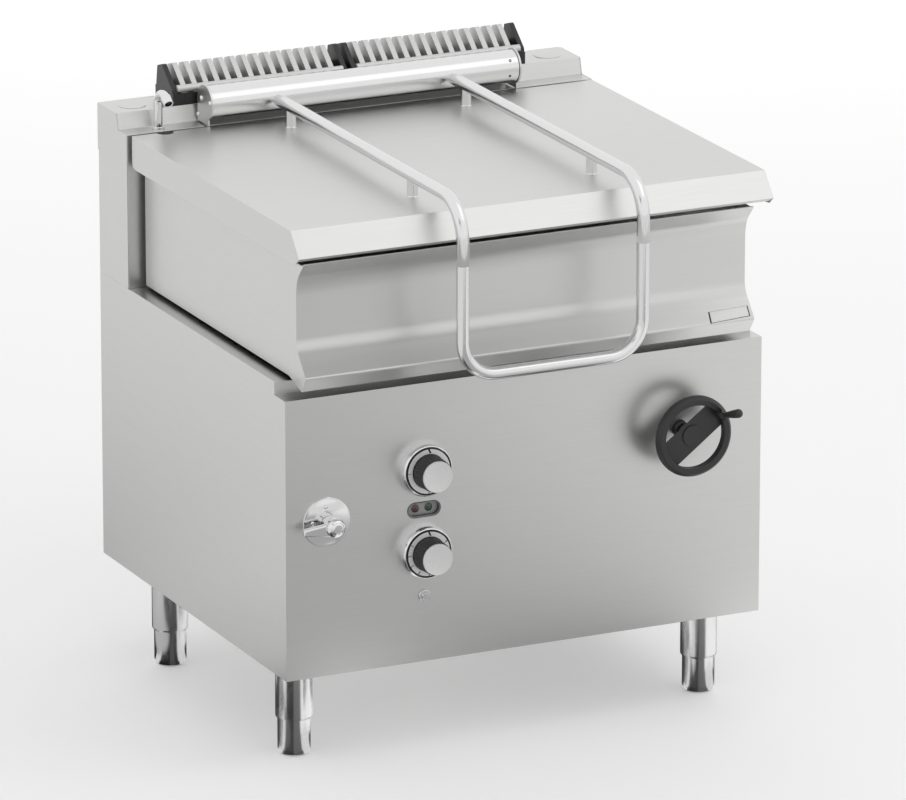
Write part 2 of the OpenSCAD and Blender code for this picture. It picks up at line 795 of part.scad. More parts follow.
// Dished wheel: rim in front, web and hub set back, and two ears for the folding grip
module hand_wheel() {
    r = wheel_d / 2;
    color("dimgray") placed() translate([wheel_x, 0, wheel_z]) difference() {
        union() {
            translate([0, wheel_y, 0]) rotate([-90, 0, 0]) rotate_extrude($fn = 96) polygon([
                [r - rim_face, 1], [r - rim_face + 1, 0], [r - 5.5, 0], [r - 2, 3], [r, 7], [r, rim_t - 3],
                [r - 2, rim_t], [r - rim_face, rim_t]
            ]);
            intersection() {
                translate([0, hub_y - web_t, 0]) rotate([-90, 0, 0])
                    cylinder(r = r - rim_face + 4, h = web_t);
                rotate([0, -web_turn, 0]) block([-r, -wheel_reach, -web_w / 2], [r, 0, web_w / 2]);
            }
            bar_y([0, hub_y - web_t - 2, 0], hub_d, 16);
            rotate([0, -web_turn, 0]) translate([grip_radius, wheel_y, 0]) {
                for (side = [-1, 1]) translate([0, 0, side * ear_x]) {
                    block([-ear_r, -grip_lift, -ear_t / 2], [ear_r, 4, ear_t / 2]);
                    translate([0, -grip_lift, -ear_t / 2]) cylinder(r = ear_r, h = ear_t);
                }
                bar_z([0, -grip_lift, -ear_x - 1], pin_d, 2 * ear_x + 2);
            }
        }
        bar_y([0, hub_y, 0], shaft_d, 30);
    }
}

// Shaft from the wheel's hub to the bevel pinion in the gearbox
module wheel_shaft() {
    pinion_y = screw_y - bevel_r;
    color("gray") placed() translate([wheel_x, 0, wheel_z]) {
        bar_y([0, hub_y, 0], shaft_d, pinion_y - hub_y);
        translate([0, pinion_y, 0]) rotate([-90, 0, 0]) rotate([0, 0, 180 / bevel_teeth])
            bevel_gear();
        bar_y([0, pinion_y - 6, 0], 2 * bevel_r - 8, 6 + lap);
    }
}

// Straight bevel gear whose teeth narrow to a point one pitch radius above its base
module bevel_gear() {
    face = 8;
    tip = bevel_r + 2.1;
    root = bevel_r - 2.9;
    step = 360 / bevel_teeth;
    linear_extrude(face, scale = (bevel_r - face) / bevel_r) polygon([
        for (i = [0:bevel_teeth - 1], k = [0:3])
            let(
                a = 90 + step * i + [-0.27, -0.11, 0.11, 0.27][k] * step,
                q = (k == 0 || k == 3) ? root : tip
            ) q * [cos(a), sin(a)]
    ]);
}

// Folding grip on the wheel's rim, drawn standing out with its lean
module crank_grip() {
    color("black") placed() translate([wheel_x, 0, wheel_z]) rotate([0, -web_turn, 0])
        translate([grip_radius, wheel_y - grip_lift, 0]) difference() {
            union() {
                translate([0, 0, -4]) cylinder(r = ear_r, h = 8);
                rotate([90, 0, 0]) rotate([0, grip_lean, 0]) rotate_extrude() polygon(concat(
                    [[0, 0], [3.4, 0], [3.6, 7], [4.4, 10], [grip_d / 2 - 1, grip_len - 16]],
                    rounded([grip_d / 2 - 1, grip_len - 16], [grip_d / 2, grip_len], [0, grip_len], 6.4, 6),
                    [[0, grip_len]]
                ));
            }
            translate([0, 0, -5]) cylinder(d = pin_d + 2 * running, h = 10);
        }
}

// Housing for the bevel pair, hung from the deck by its two long cheeks
module gearbox() {
    color("slategray") placed() translate([wheel_x, screw_y, 0]) difference() {
        union() {
            block([-box_half_x, -box_half_y, box_low], [box_half_x, box_half_y, box_high]);
            for (side = [-1, 1])
                block([side * (box_half_x - 2.5) - 2.5, -30, box_high - lap],
                    [side * (box_half_x - 2.5) + 2.5, 30, deck_z - sheet]);
        }
        block([-box_half_x + box_wall, -box_half_y + box_wall, box_low + box_wall],
            [box_half_x - box_wall, box_half_y - box_wall, box_high - box_wall]);
        bar_z([0, 0, box_low - 1], nut_d + 2 * running, box_wall + 2);
        bar_z([0, 0, box_high - box_wall - 1], screw_d + 4, box_wall + 2);
        bar_y([0, -box_half_y - 1, wheel_z], shaft_d + 2 * running, box_wall + 2);
    }
}

// Nut with a bevel gear that turns in the housing floor
module lift_nut() {
    color("goldenrod") placed() translate([wheel_x, screw_y, 0]) difference() {
        union() {
            translate([0, 0, gear_low]) rotate([0, 0, 180]) bevel_gear();
            bar_z([0, 0, gear_low - 6], 2 * bevel_r - 4, 6 + lap);
            bar_z([0, 0, box_low - 4], nut_d, gear_low - box_low);
        }
        bar_z([0, 0, box_low - 6], screw_d + 2 * running, 60);
    }
}

// Rising screw with a slotted crosshead that carries the arm's roller
module lift_screw() {
    clear_x = head_w / 2;
    low = box_low - lift - screw_tail;
    color("gray") placed() translate([wheel_x, screw_y, 0]) {
        bar_z([0, 0, low], screw_d, head_low + free - low);
        difference() {
            block([-clear_x, -slot_half_y - head_wall, head_low],
                [clear_x, slot_half_y + head_wall, roller_z + slot_half_z + head_wall]);
            block([-clear_x - 1, -slot_half_y, roller_z - slot_half_z],
                [clear_x + 1, slot_half_y, roller_z + slot_half_z]);
        }
    }
}

// Two arm plates welded under the heater tray, with the pin and roller between their ends
module lift_arm() {
    top = tray_top - tray_h;
    color("silver") placed() {
        for (x = [wheel_x - arm_x - arm_t, wheel_x + arm_x]) along_x(x, x + arm_t) {
            polygon([[roller_y - arm_edge, roller_z], [roller_y + arm_edge, roller_z],
                [roller_y + 34, top], [roller_y - 26, top]]);
            translate([roller_y, roller_z]) circle(r = arm_edge);
        }
        bar_x([wheel_x - arm_x - arm_t / 2, roller_y, roller_z], 12, 2 * arm_x + arm_t);
        bar_x([wheel_x - arm_x + free / 2, roller_y, roller_z], roller_d, 2 * arm_x - free);
        block([wheel_x - arm_x - arm_t - 6, roller_y - 26, top - 4],
            [wheel_x + arm_x + arm_t + 6, roller_y + 34, top]);
    }
}

// Fixed hooks that reach forward from the deck to the pivot pins
module pivot_brackets() {
    color("silver") placed() for (side = [-1, 1]) difference() {
        along_x(side * pivot_x - finger_t / 2, side * pivot_x + finger_t / 2) union() {
            translate([pivot_y, pivot_z]) circle(r = boss_r);
            polygon([[pivot_y, pivot_z - boss_r], [38, pivot_z - boss_r], [50, deck_z + 4], [50, deck_z],
                [112, deck_z], [112, deck_z + 6], [66, pivot_z + 7], [pivot_y + 3, pivot_z + boss_r - 1]]);
        }
        bar_x([side * pivot_x - finger_t, pivot_y, pivot_z], pivot_d + 2 * running, 2 * finger_t);
    }
}
module pivot_pins() {
    len = finger_t + 2 * free + 2 * gusset_t + 6;
    color("white") placed() for (side = [-1, 1])
        bar_x([side * pivot_x - len / 2, pivot_y, pivot_z], pivot_d, len);
}

module foot_sleeves() {
    color("white") placed() for (x = foot_xs, y = [foot_front_y, foot_rear_y]) translate([x, y, sleeve_z])
        difference() {
            rotate_extrude() polygon(concat(
                [[0, 0]],
                rounded([0, 0], [sleeve_d / 2, 0], [sleeve_d / 2, 20], 4),
                [[sleeve_d / 2, leg_h - sleeve_z], [0, leg_h - sleeve_z]]
            ));
            translate([0, 0, -1]) cylinder(d = foot_d + 2 * running, h = leg_h - sleeve_z - 5);
        }
}
module foot(x, y) {
    color("white") placed() translate([x, y, 0]) rotate_extrude() polygon(concat(
        [[0, 0]],
        rounded([0, 0], [foot_d / 2 - 2, 0], [foot_d / 2 - 2, 6], 3),
        [[foot_d / 2 - 2, 6], [foot_d / 2, 9], [foot_d / 2, leg_h - foot_travel - 8],
            [0, leg_h - foot_travel - 8]]
    ));
}
module foot_front_left() { foot(foot_xs[0], foot_front_y); }
module foot_front_right() { foot(foot_xs[1], foot_front_y); }
module foot_rear_left() { foot(foot_xs[0], foot_rear_y); }
module foot_rear_right() { foot(foot_xs[1], foot_rear_y); }

// A rectangle in X and Y with round corners
module plan(w, y0, y1, r) {
    translate([-w / 2 + r, y0]) square([w - 2 * r, y1 - y0]);
    translate([-w / 2, y0 + r]) square([w, y1 - y0 - 2 * r]);
    for (x = [-w / 2 + r, w / 2 - r], y = [y0 + r, y1 - r]) translate([x, y]) circle(r = r);
}

module pan_vessel() {
    wall = 2 * well_t;
    color("gainsboro") placed() difference() {
        union() {
            translate([0, 0, floor_z - well_t]) linear_extrude(rim_z - floor_z + well_t)
                plan(well_w + wall, well_front_y - well_t, well_back_y + well_t, well_r + well_t);
            block([-pan_half, -6, rim_z - sheet], [pan_half, pan_back_y, rim_z]);
        }
        translate([0, 0, floor_z]) linear_extrude(rim_z - floor_z + 1)
            plan(well_w, well_front_y, well_back_y, well_r);
    }
}

module pan_casing() {
    color("silver") placed() difference() {
        block([-pan_half, seam_y, skirt_z], [pan_half, pan_back_y, rim_z - sheet]);
        block([-pan_half + sheet, seam_y - 1, skirt_z - 1], [pan_half - sheet, pan_back_y - sheet, rim_z]);
    }
}

// Folded front with its end cheeks and the gussets that turn on the pivot pins
module pan_front() {
    inner_x = pan_half - sheet;
    cheek = concat(front_path, [[seam_y, skirt_z], [seam_y, rim_z - sheet], [-6, rim_z - sheet]]);
    gusset_x = finger_t / 2 + free;
    color("silver") placed() difference() {
        union() {
            along_x(-inner_x, inner_x) polygon(folded(front_path, sheet));
            for (x = [-pan_half, inner_x]) along_x(x, x + sheet) polygon(cheek);
            for (side = [-1, 1], inner = [-gusset_x - gusset_t, gusset_x])
                along_x(side * pivot_x + inner, side * pivot_x + inner + gusset_t) intersection() {
                    polygon(cheek);
                    polygon([[-40, skirt_z - 20], [pivot_y, pivot_z - boss_r - 1], [27, pivot_z],
                        [27, 700], [-40, 700]]);
                }
        }
        for (side = [-1, 1])
            bar_x([side * pivot_x - 20, pivot_y, pivot_z], pivot_d + 2 * running, 40);
    }
}

// Three hairpin rods clamped under the well's floor
module heating_elements() {
    reach = well_w / 2 - rod_inset;
    z = tray_top + rod_d / 2;
    color("dimgray") placed() for (i = [-1:1]) translate([0, well_mid_y + i * rod_pitch, z]) {
        for (side = [-1, 1]) bar_x([-reach, side * rod_bend, 0], rod_d, 2 * reach);
        translate([reach, 0, 0]) rotate([0, 0, -90])
            rotate_extrude(angle = 180) translate([rod_bend, 0]) circle(d = rod_d);
    }
}

module heater_tray() {
    color("silver") placed() block([-well_w / 2, well_front_y + 5, tray_top - tray_h],
        [well_w / 2, well_back_y - 5, tray_top]);
}

// End plates of the lid hinge, each with a spigot in the hinge tube and a hanger on the pan's back
module hinge_brackets() {
    plate_x = hinge_w / 2 + 0.5;
    low = rim_z - 110;
    color("silver") placed() for (side = [-1, 1]) mirror([side < 0 ? 1 : 0, 0, 0]) difference() {
        union() {
            bar_x([plate_x, hinge_y, hinge_z], 2 * hinge_r + 4, end_t);
            block([plate_x, hanger_y, ledge_z + tail_gap],
                [plate_x + end_t, slope_y - tail_gap, hinge_z - 10]);
            bar_x([plate_x - 12, hinge_y, hinge_z], 2 * (hinge_r - tube_wall - running), 12 + lap);
            block([plate_x, hanger_y, ledge_z - 6], [plate_x + end_t, hanger_y + hanger_t, hinge_z]);
            block([plate_x - 30, hanger_y, low], [plate_x + 30, hanger_y + hanger_t, ledge_z - 6 + lap]);
            block([plate_x - 30, pan_back_y, low], [plate_x + 30, hanger_y + lap, rim_z - 10]);
        }
        bar_x([plate_x - 13, hinge_y, hinge_z], hinge_shaft_d + 2 * running, 13 + 0.5);
    }
}
module hinge_shaft() {
    color("gray") placed() bar_x([-hinge_w / 2, hinge_y, hinge_z], hinge_shaft_d, hinge_w);
}

// Torsion springs that balance the lid, each a row of close turns round the shaft
module lid_springs() {
    wire = 5;
    turns = 9;
    coil_r = (hinge_shaft_d + wire) / 2 + 0.6;
    color("dimgray") placed() for (side = [-1, 1], i = [0:turns - 1])
        translate([side * (hinge_w / 2 - 120) + (i - turns / 2) * wire, hinge_y, hinge_z])
            rotate([0, 90, 0]) rotate_extrude() translate([coil_r, 0]) circle(d = wire - lap, $fn = 16);
}

module lid_shell() {
    outline = [[lid_back_y, lid_back_z], [lid_back_y, lid_z], [-lid_front, lid_z], [nose_y, nose_z],
        [nose_y + 11, nose_z - 6.7]];
    side = [[lid_back_y, lid_z], [-lid_front, lid_z], [nose_y, nose_z], [nose_y + 13, nose_z - 10.7],
        [nose_y + 53, lid_back_z], [lid_back_y - 10, lid_back_z], [lid_back_y - 3, lid_back_z + 3],
        [lid_back_y, lid_back_z + 10]];
    color("gainsboro") placed() difference() {
        union() {
            along_x(-lid_half + sheet, lid_half - sheet) polygon(folded(outline, sheet));
            for (x = [-lid_half, lid_half - sheet]) along_x(x, x + sheet) polygon(side);
        }
        bar_z([spout_x, lid_back_y, lid_back_z - 10], 2 * notch_r, lid_skirt_h + 20);
    }
}

module lid_posts() {
    color("white") placed() difference() {
        for (x = [-handle_x, handle_x], y = [post_front_y, post_rear_y])
            bar_z([x, y, lid_z], post_d, handle_z - lid_z);
        for (x = [-handle_x, handle_x]) bar_y([x, 0, handle_z], handle_d, hinge_y);
    }
}

// U-shaped handle of one bent tube, coped to the hinge tube
module handle() {
    y_drop = -handle_front;
    y_bend = y_drop + bend_front;
    z_bend = handle_z - bend_front;
    z_low = handle_low + bend_low;
    x_low = handle_x - bend_low;
    color("white") placed() difference() {
        union() {
            for (side = [-1, 1]) {
                bar_y([side * handle_x, y_bend, handle_z], handle_d, hinge_y - y_bend);
                translate([side * handle_x, y_bend, z_bend]) quarter(bend_front, handle_d, 90);
                bar_z([side * handle_x, y_drop, z_low], handle_d, z_bend - z_low);
                translate([side * x_low, y_drop, z_low]) rotate([90, 0, 0])
                    rotate([0, 0, side > 0 ? -90 : 180]) rotate_extrude(angle = 90)
                        translate([bend_low, 0]) circle(d = handle_d);
            }
            bar_x([-x_low, y_drop, handle_low], handle_d, 2 * x_low);
        }
        bar_x([-hinge_w / 2, hinge_y, hinge_z], 2 * hinge_r, hinge_w);
    }
}

module hinge_cover() {
    color("gainsboro") placed() difference() {
        bar_x([-hinge_w / 2, hinge_y, hinge_z], 2 * hinge_r, hinge_w);
        bar_x([-hinge_w / 2 - 1, hinge_y, hinge_z], 2 * (hinge_r - tube_wall), hinge_w + 2);
    }
}

base_tray();
side_panel_left();
side_panel_right();
front_panel();
deck();
back_panel();
column_front();
column_side_left();
column_side_right();
column_back();
column_plugs();
flue_grille_left();
flue_grille_right();
flue_frame();
spout();
water_pipe();
water_inlet();
tap_plate();
tap_valve();
tap_lever();
bezel_upper();
bezel_lower();
selector_switch();
thermostat();
knob_upper();
knob_lower();
pilot_bezel();
pilot_lens_red();
pilot_lens_green();
reset_ring();
reset_button();
terminal_block();
cable_gland();
wheel_collar();
gearbox();
hand_wheel();
wheel_shaft();
crank_grip();
lift_nut();
lift_screw();
lift_arm();
pivot_brackets();
pivot_pins();
foot_sleeves();
foot_front_left();
foot_front_right();
foot_rear_left();
foot_rear_right();
pan_vessel();
pan_casing();
pan_front();
heating_elements();
heater_tray();
hinge_brackets();
hinge_shaft();
lid_springs();
lid_shell();
lid_posts();
handle();
hinge_cover();
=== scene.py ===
"""Dresses the tilting bratt pan in sheet steel, chrome and plastic, and sets up a plain studio."""

import json
import math

import bmesh
import bpy
from bpy.props import FloatProperty, IntProperty, PointerProperty, StringProperty
from mathutils import Matrix, Vector


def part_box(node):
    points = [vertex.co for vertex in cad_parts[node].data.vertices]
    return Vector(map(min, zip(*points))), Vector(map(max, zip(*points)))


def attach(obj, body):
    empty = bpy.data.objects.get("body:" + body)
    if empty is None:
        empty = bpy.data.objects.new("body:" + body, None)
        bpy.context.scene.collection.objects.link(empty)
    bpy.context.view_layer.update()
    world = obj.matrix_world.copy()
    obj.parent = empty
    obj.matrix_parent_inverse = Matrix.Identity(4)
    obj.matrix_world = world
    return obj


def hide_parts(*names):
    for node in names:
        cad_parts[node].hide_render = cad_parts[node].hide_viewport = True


bl_info = {
    "name": "Tilting bratt pan",
    "version": (1, 0, 0),
    "blender": (4, 5, 0),
    "location": "View3D > Sidebar > Bratt pan",
    "description": "Finishes a stainless tilting bratt pan and lights it in a pale studio",
    "category": "Object",
}

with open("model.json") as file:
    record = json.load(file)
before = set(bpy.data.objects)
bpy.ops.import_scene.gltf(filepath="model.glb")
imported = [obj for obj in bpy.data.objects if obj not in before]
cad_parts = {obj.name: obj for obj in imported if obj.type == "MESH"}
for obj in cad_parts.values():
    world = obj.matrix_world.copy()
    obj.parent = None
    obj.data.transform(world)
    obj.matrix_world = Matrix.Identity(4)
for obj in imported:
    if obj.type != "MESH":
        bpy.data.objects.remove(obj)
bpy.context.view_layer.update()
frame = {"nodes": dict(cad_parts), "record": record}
BODY_OF = {
    node: body for body, nodes in frame["record"]["behaviour"]["bodies"].items() for node in nodes
}
SLOT_OF = {part["node"]: part["material_slot"] for part in frame["record"]["subparts"]}
MM = 0.001
PANEL_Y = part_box("front_panel")[0].y
FRONT = (0.0, -1.0, 0.0)
UP = (0.0, 0.0, 1.0)
WHITE = (1.0, 1.0, 1.0, 1.0)
FEET = ("foot_front_left", "foot_rear_left", "foot_front_right", "foot_rear_right")
# Width of the photograph in pixels, which the focal length is given in
PHOTO_WIDTH = 906
# Points closer than this are one point: on the CAD's triangles, and on the pieces made here
CAD_WELD = 0.002 * MM
WELD = 0.001 * MM
# Most that the edges of thin sheet are rounded by, in millimetres
SHEET_ROUND = 0.7
# Number of sides of a bent tube
TUBE_SIDES = 48
# Height of a figure of the font, as a share of its size
TYPE_HEIGHT = 0.7
# Half the thickness of print, in millimetres
INK = 0.05
# What the floor adds where it is seen directly or mirrored, so that it stays white
FLOOR_GLOW = 0.25
# Length of the wedges round the feet, in metres
WEDGE = 0.6


def at(x, y, z):
    """A place given in millimetres: across, behind the front panel's face, above the floor"""
    return Vector((x * MM, PANEL_Y + y * MM, z * MM))


def middle(node):
    """The centre of a node's box"""
    low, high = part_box(node)
    return (low + high) / 2


def on_panel(node):
    """The point of the front panel's face that a control is centred on"""
    centre = middle(node)
    return Vector((centre.x, PANEL_Y, centre.z))


def facing(centre, axis):
    """The turn and shift that put local Z along axis and the local origin at centre"""
    turn = Vector((0, 0, 1)).rotation_difference(Vector(axis)).to_matrix().to_4x4()
    return Matrix.Translation(centre) @ turn


# Materials


def linear(colour):
    """An sRGB hex colour as linear RGBA"""
    parts = [int(colour[i:i + 2], 16) / 255 for i in (1, 3, 5)]
    return [p / 12.92 if p <= 0.04045 else ((p + 0.055) / 1.055) ** 2.4 for p in parts] + [1.0]


def add(tree, kind, values=None, links=None, **settings):
    """Adds one shader node, with its settings, its input values and its links"""
    made = tree.nodes.new(kind)
    for name, value in settings.items():
        setattr(made, name, value)
    for name, value in (values or {}).items():
        made.inputs[name].default_value = value
    for name, (source, output) in (links or {}).items():
        tree.links.new(source.outputs[output], made.inputs[name])
    return made


def blank(name, colour, **values):
    """A new material with its tree and its shader, set to plain values"""
    made = bpy.data.materials.new(name)
    made.use_nodes = True
    shader = made.node_tree.nodes["Principled BSDF"]
    shader.inputs["Base Color"].default_value = linear(colour)
    for key, value in values.items():
        shader.inputs[key.replace("_", " ")].default_value = value
    return made, made.node_tree, shader


def between(tree, pattern, low, high):
    """Turns the middle of a noise pattern into values from low to high"""
    return add(
        tree, "ShaderNodeMapRange",
        {"From Min": 0.3, "From Max": 0.7, "To Min": low, "To Max": high}, {"Value": (pattern, 0)},
    )


def noise(tree, scale, size, detail=4.0):
    """Noise on the piece's own coordinates, in patches that are size metres wide before scaling"""
    coords = add(tree, "ShaderNodeTexCoord")
    scaled = add(tree, "ShaderNodeMapping", {"Scale": scale}, {"Vector": (coords, "Object")})
    return add(
        tree, "ShaderNodeTexNoise", {"Scale": 1 / size, "Detail": detail, "Roughness": 0.6},
        {"Vector": (scaled, "Vector")},
    )


def vary_gloss(tree, shader, pattern, low, high):
    """Lets a pattern vary a surface's roughness from low to high"""
    tree.links.new(between(tree, pattern, low, high).outputs[0], shader.inputs["Roughness"])


def emboss(tree, shader, pattern, depth):
    """Makes a pattern stand out of a surface by a depth in metres"""
    relief = add(
        tree, "ShaderNodeBump", {"Strength": 0.3, "Distance": depth}, {"Height": (pattern, 0)}
    )
    tree.links.new(relief.outputs["Normal"], shader.inputs["Normal"])


def finish_surface(tree, shader, pattern, rough, spread, colour, shade, depth):
    """Lets one pattern vary a surface's roughness, its colour and its relief"""
    vary_gloss(tree, shader, pattern, rough - spread, rough + spread)
    tint = add(
        tree, "ShaderNodeMix", {6: linear(colour), 7: linear(shade)},
        {0: (between(tree, pattern, 0.0, 1.0), 0)}, data_type="RGBA",
    )
    tree.links.new(tint.outputs[2], shader.inputs["Base Color"])
    emboss(tree, shader, pattern, depth)


def brushed_steel(name, along, finish):
    """Austenitic stainless sheet, belt-ground with grit 180 to 240: a soft mirror with faint streaks.
    Real scratches are 0.1 mm apart, and they are drawn about ten times as coarse so that some show."""
    rough = finish.sheet_rough
    made, tree, shader = blank(
        name, finish.steel, Metallic=1.0, Roughness=rough, Anisotropic=0.25
    )
    stretch = [0.015 if axis == along else 1.0 for axis in "xyz"]
    streaks = noise(tree, stretch, 1.2 * MM)
    finish_surface(
        tree, shader, streaks, rough, 0.015, finish.steel, finish.steel_shade, 0.002 * MM
    )
    return made


def polished_steel(name, colour, rough):
    """Stainless tube and turned parts after buffing: a clear mirror with a trace of haze"""
    made, tree, shader = blank(name, colour, Metallic=1.0, Roughness=rough)
    haze = noise(tree, (1.0, 1.0, 1.0), 9 * MM, 2.0)
    vary_gloss(tree, shader, haze, rough - 0.02, rough + 0.03)
    return made


def satin_tube(name, finish):
    """Satin stainless tube: brighter than the sheet, with a soft long highlight and a faint grain"""
    rough = finish.tube_rough
    made, tree, shader = blank(name, finish.tube, Metallic=1.0, Roughness=rough)
    grain = noise(tree, (1.0, 1.0, 1.0), 2.2 * MM)
    finish_surface(
        tree, shader, grain, rough, 0.01, finish.tube, finish.tube_shade, 0.0003 * MM
    )
    return made


def cast_steel(name, finish):
    """Investment-cast stainless, bead-blasted: pale, matt and very finely pitted"""
    made, tree, shader = blank(name, finish.cast, Metallic=0.85, Roughness=0.48)
    pits = noise(tree, (1.0, 1.0, 1.0), 1.1 * MM, 3.0)
    finish_surface(tree, shader, pits, 0.48, 0.05, finish.cast, finish.cast_shade, 0.02 * MM)
    return made


def enamelled_iron(name, finish):
    """Black vitreous enamel on cast iron: deep, with a slight orange-peel"""
    made, tree, shader = blank(name, finish.enamel, Roughness=0.34)
    peel = noise(tree, (1.0, 1.0, 1.0), 2.5 * MM, 2.0)
    finish_surface(tree, shader, peel, 0.34, 0.05, finish.enamel, finish.enamel_shade, 0.03 * MM)
    return made


def moulded_phenolic(name, finish):
    """Black phenolic with an eroded mould surface: dull and fine-grained like a tool handle"""
    made, tree, shader = blank(name, finish.phenolic, Roughness=0.42)
    skin = noise(tree, (1.0, 1.0, 1.0), 0.8 * MM, 3.0)
    finish_surface(tree, shader, skin, 0.42, 0.07, finish.phenolic, finish.phenolic_shade, 0.03 * MM)
    return made


def printed_foil(name, finish):
    """Matt silver print foil of a dial: pale, flat and faintly metallic"""
    made, tree, shader = blank(name, finish.foil, Metallic=0.25, Roughness=0.4)
    flakes = noise(tree, (1.0, 1.0, 1.0), 0.5 * MM, 2.0)
    finish_surface(tree, shader, flakes, 0.4, 0.04, finish.foil, finish.foil_shade, 0.004 * MM)
    return made


def turned_cap(name, finish):
    """Stainless cap faced on a lathe: rings so fine that only a soft fan of light shows"""
    made, tree, shader = blank(
        name, finish.cap, Metallic=0.3, Roughness=0.33, Anisotropic=0.3
    )
    rings = noise(tree, (1.0, 0.1, 1.0), 0.7 * MM, 3.0)
    finish_surface(tree, shader, rings, 0.33, 0.03, finish.cap, finish.steel, 0.004 * MM)
    return made


def tinted_lens(name, colour):
    """Tinted polycarbonate lens over an unlit lamp: dark and saturated, with a wet gloss"""
    made, tree, shader = blank(name, colour, Roughness=0.12, Coat_Weight=0.6)
    swirl = noise(tree, (1.0, 1.0, 1.0), 1.5 * MM, 2.0)
    vary_gloss(tree, shader, swirl, 0.08, 0.18)
    return made


def moulded_plastic(name, colour, rough=0.5):
    """Injection-moulded housing plastic: even, slightly chalky, with a fine spark-eroded texture"""
    made, tree, shader = blank(name, colour, Roughness=rough)
    skin = noise(tree, (1.0, 1.0, 1.0), 0.9 * MM, 2.0)
    vary_gloss(tree, shader, skin, rough - 0.05, rough + 0.05)
    emboss(tree, shader, skin, 0.02 * MM)
    return made


def machined_metal(name, colour, rough):
    """Turned or milled metal with an oily film: patchy gloss over fine tool marks"""
    made, tree, shader = blank(name, colour, Metallic=1.0, Roughness=rough)
    marks = noise(tree, (1.0, 1.0, 0.2), 1.6 * MM, 3.0)
    vary_gloss(tree, shader, marks, rough - 0.08, rough + 0.08)
    emboss(tree, shader, marks, 0.02 * MM)
    return made


MATERIALS = {}


def material(key):
    """A finish by its short name; all of them are made at the first call"""
    if not MATERIALS:
        make_materials(bpy.context.scene.bratt_finish)
    return MATERIALS[key]


def make_materials(finish):
    """Every finish of the pan, by a maker's plain name"""
    MATERIALS.update({
        "sheet_x": brushed_steel("stainless sheet ground along its width", "x", finish),
        "sheet_y": brushed_steel("stainless sheet ground along its depth", "y", finish),
        "polish": polished_steel("buffed stainless", finish.polish, finish.polish_rough),
        "foot": polished_steel("turned stainless", finish.foot, 0.2),
        "tube": satin_tube("satin stainless tube", finish),
        "cast": cast_steel("blasted stainless casting", finish),
        "enamel": enamelled_iron("black enamelled iron", finish),
        "phenolic": moulded_phenolic("black phenolic moulding", finish),
        "foil": printed_foil("silver dial foil", finish),
        "cap": turned_cap("turned stainless cap", finish),
        "ink": moulded_plastic("black print", "#141414", 0.45),
        "plate": moulded_plastic("white plate", "#F0F0EF", 0.35),
        "red": tinted_lens("red lens", finish.red),
        "green": tinted_lens("green lens", finish.green),
        "grey": moulded_plastic("grey polycarbonate", "#5C5D5E", 0.4),
        "pocket": moulded_plastic("pale polycarbonate", "#A4A5A6", 0.4),
        "ivory": moulded_plastic("ivory switch plastic", "#CFC8B4"),
        "brass": machined_metal("machined brass", "#B99A5A", 0.32),
        "tool": machined_metal("oiled tool steel", "#8B8C8E", 0.3),
        "housing": moulded_plastic("grey painted casting", "#5C6064", 0.55),
        "mill": machined_metal("mill-finished aluminium", "#B9BABC", 0.42),
        "sheath": machined_metal("oxidised element sheath", "#55524E", 0.5),
    })


SLOT_MATERIALS = {
    "satin_steel": "sheet_x", "polished_steel": "polish", "grille_steel": "cast",
    "black_enamel": "enamel", "black_plastic": "phenolic", "ivory_plastic": "ivory",
    "grey_plastic": "grey", "red_lens": "red", "green_lens": "green", "brass": "brass",
    "tool_steel": "tool", "cast_housing": "housing", "insulated_tray": "mill",
    "element_sheath": "sheath",
}


# Shapes


def build(name, work, finish, like, sharp=32, hides=()):
    """Makes a piece of a bmesh that rides with the node it is like, and hides those it replaces"""
    bmesh.ops.recalc_face_normals(work, faces=work.faces)
    mesh = bpy.data.meshes.new(name)
    work.to_mesh(mesh)
    work.free()
    mesh.materials.append(material(finish))
    mesh.shade_smooth()
    mesh.set_sharp_from_angle(angle=math.radians(sharp))
    piece = bpy.data.objects.new(name, mesh)
    bpy.context.scene.collection.objects.link(piece)
    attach(piece, BODY_OF[like])
    if hides:
        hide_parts(*hides)
    return piece


def softened(node, finish, width=0.6, segments=2, angle=30, sharp=32, reshape=None):
    """A copy of a node with its triangles merged into faces and its edges broken by a small round"""
    work = bmesh.new()
    work.from_mesh(frame["nodes"][node].data)
    bmesh.ops.remove_doubles(work, verts=work.verts, dist=CAD_WELD)
    if reshape:
        reshape(work)
    bmesh.ops.dissolve_limit(
        work, angle_limit=math.radians(0.5), verts=work.verts, edges=work.edges,
        delimit={"NORMAL"},
    )
    edges = [e for e in work.edges if e.is_manifold and e.calc_face_angle() > math.radians(angle)]
    bmesh.ops.bevel(
        work, geom=edges, offset=width * MM, offset_type="OFFSET", segments=segments,
        profile=0.5, affect="EDGES", material=-1, clamp_overlap=True,
    )
    piece = build(node + "_finished", work, finish, node, sharp=sharp, hides=[node])
    flat = piece.modifiers.new("flat faces", "WEIGHTED_NORMAL")
    flat.keep_sharp = True
    return piece


def turned(work, outline, place, steps=96):
    """Spins an outline of (radius, height) in millimetres round local Z and puts it in its place"""
    before = set(work.verts)
    points = [work.verts.new((radius * MM, 0, height * MM)) for radius, height in outline]
    edges = [work.edges.new(pair) for pair in zip(points, points[1:])]
    bmesh.ops.spin(
        work, geom=points + edges, cent=(0, 0, 0), axis=UP, angle=2 * math.pi, steps=steps,
        use_merge=True,
    )
    made = [v for v in work.verts if v not in before]
    bmesh.ops.remove_doubles(work, verts=made, dist=WELD)
    bmesh.ops.transform(work, matrix=place, verts=[v for v in made if v.is_valid])


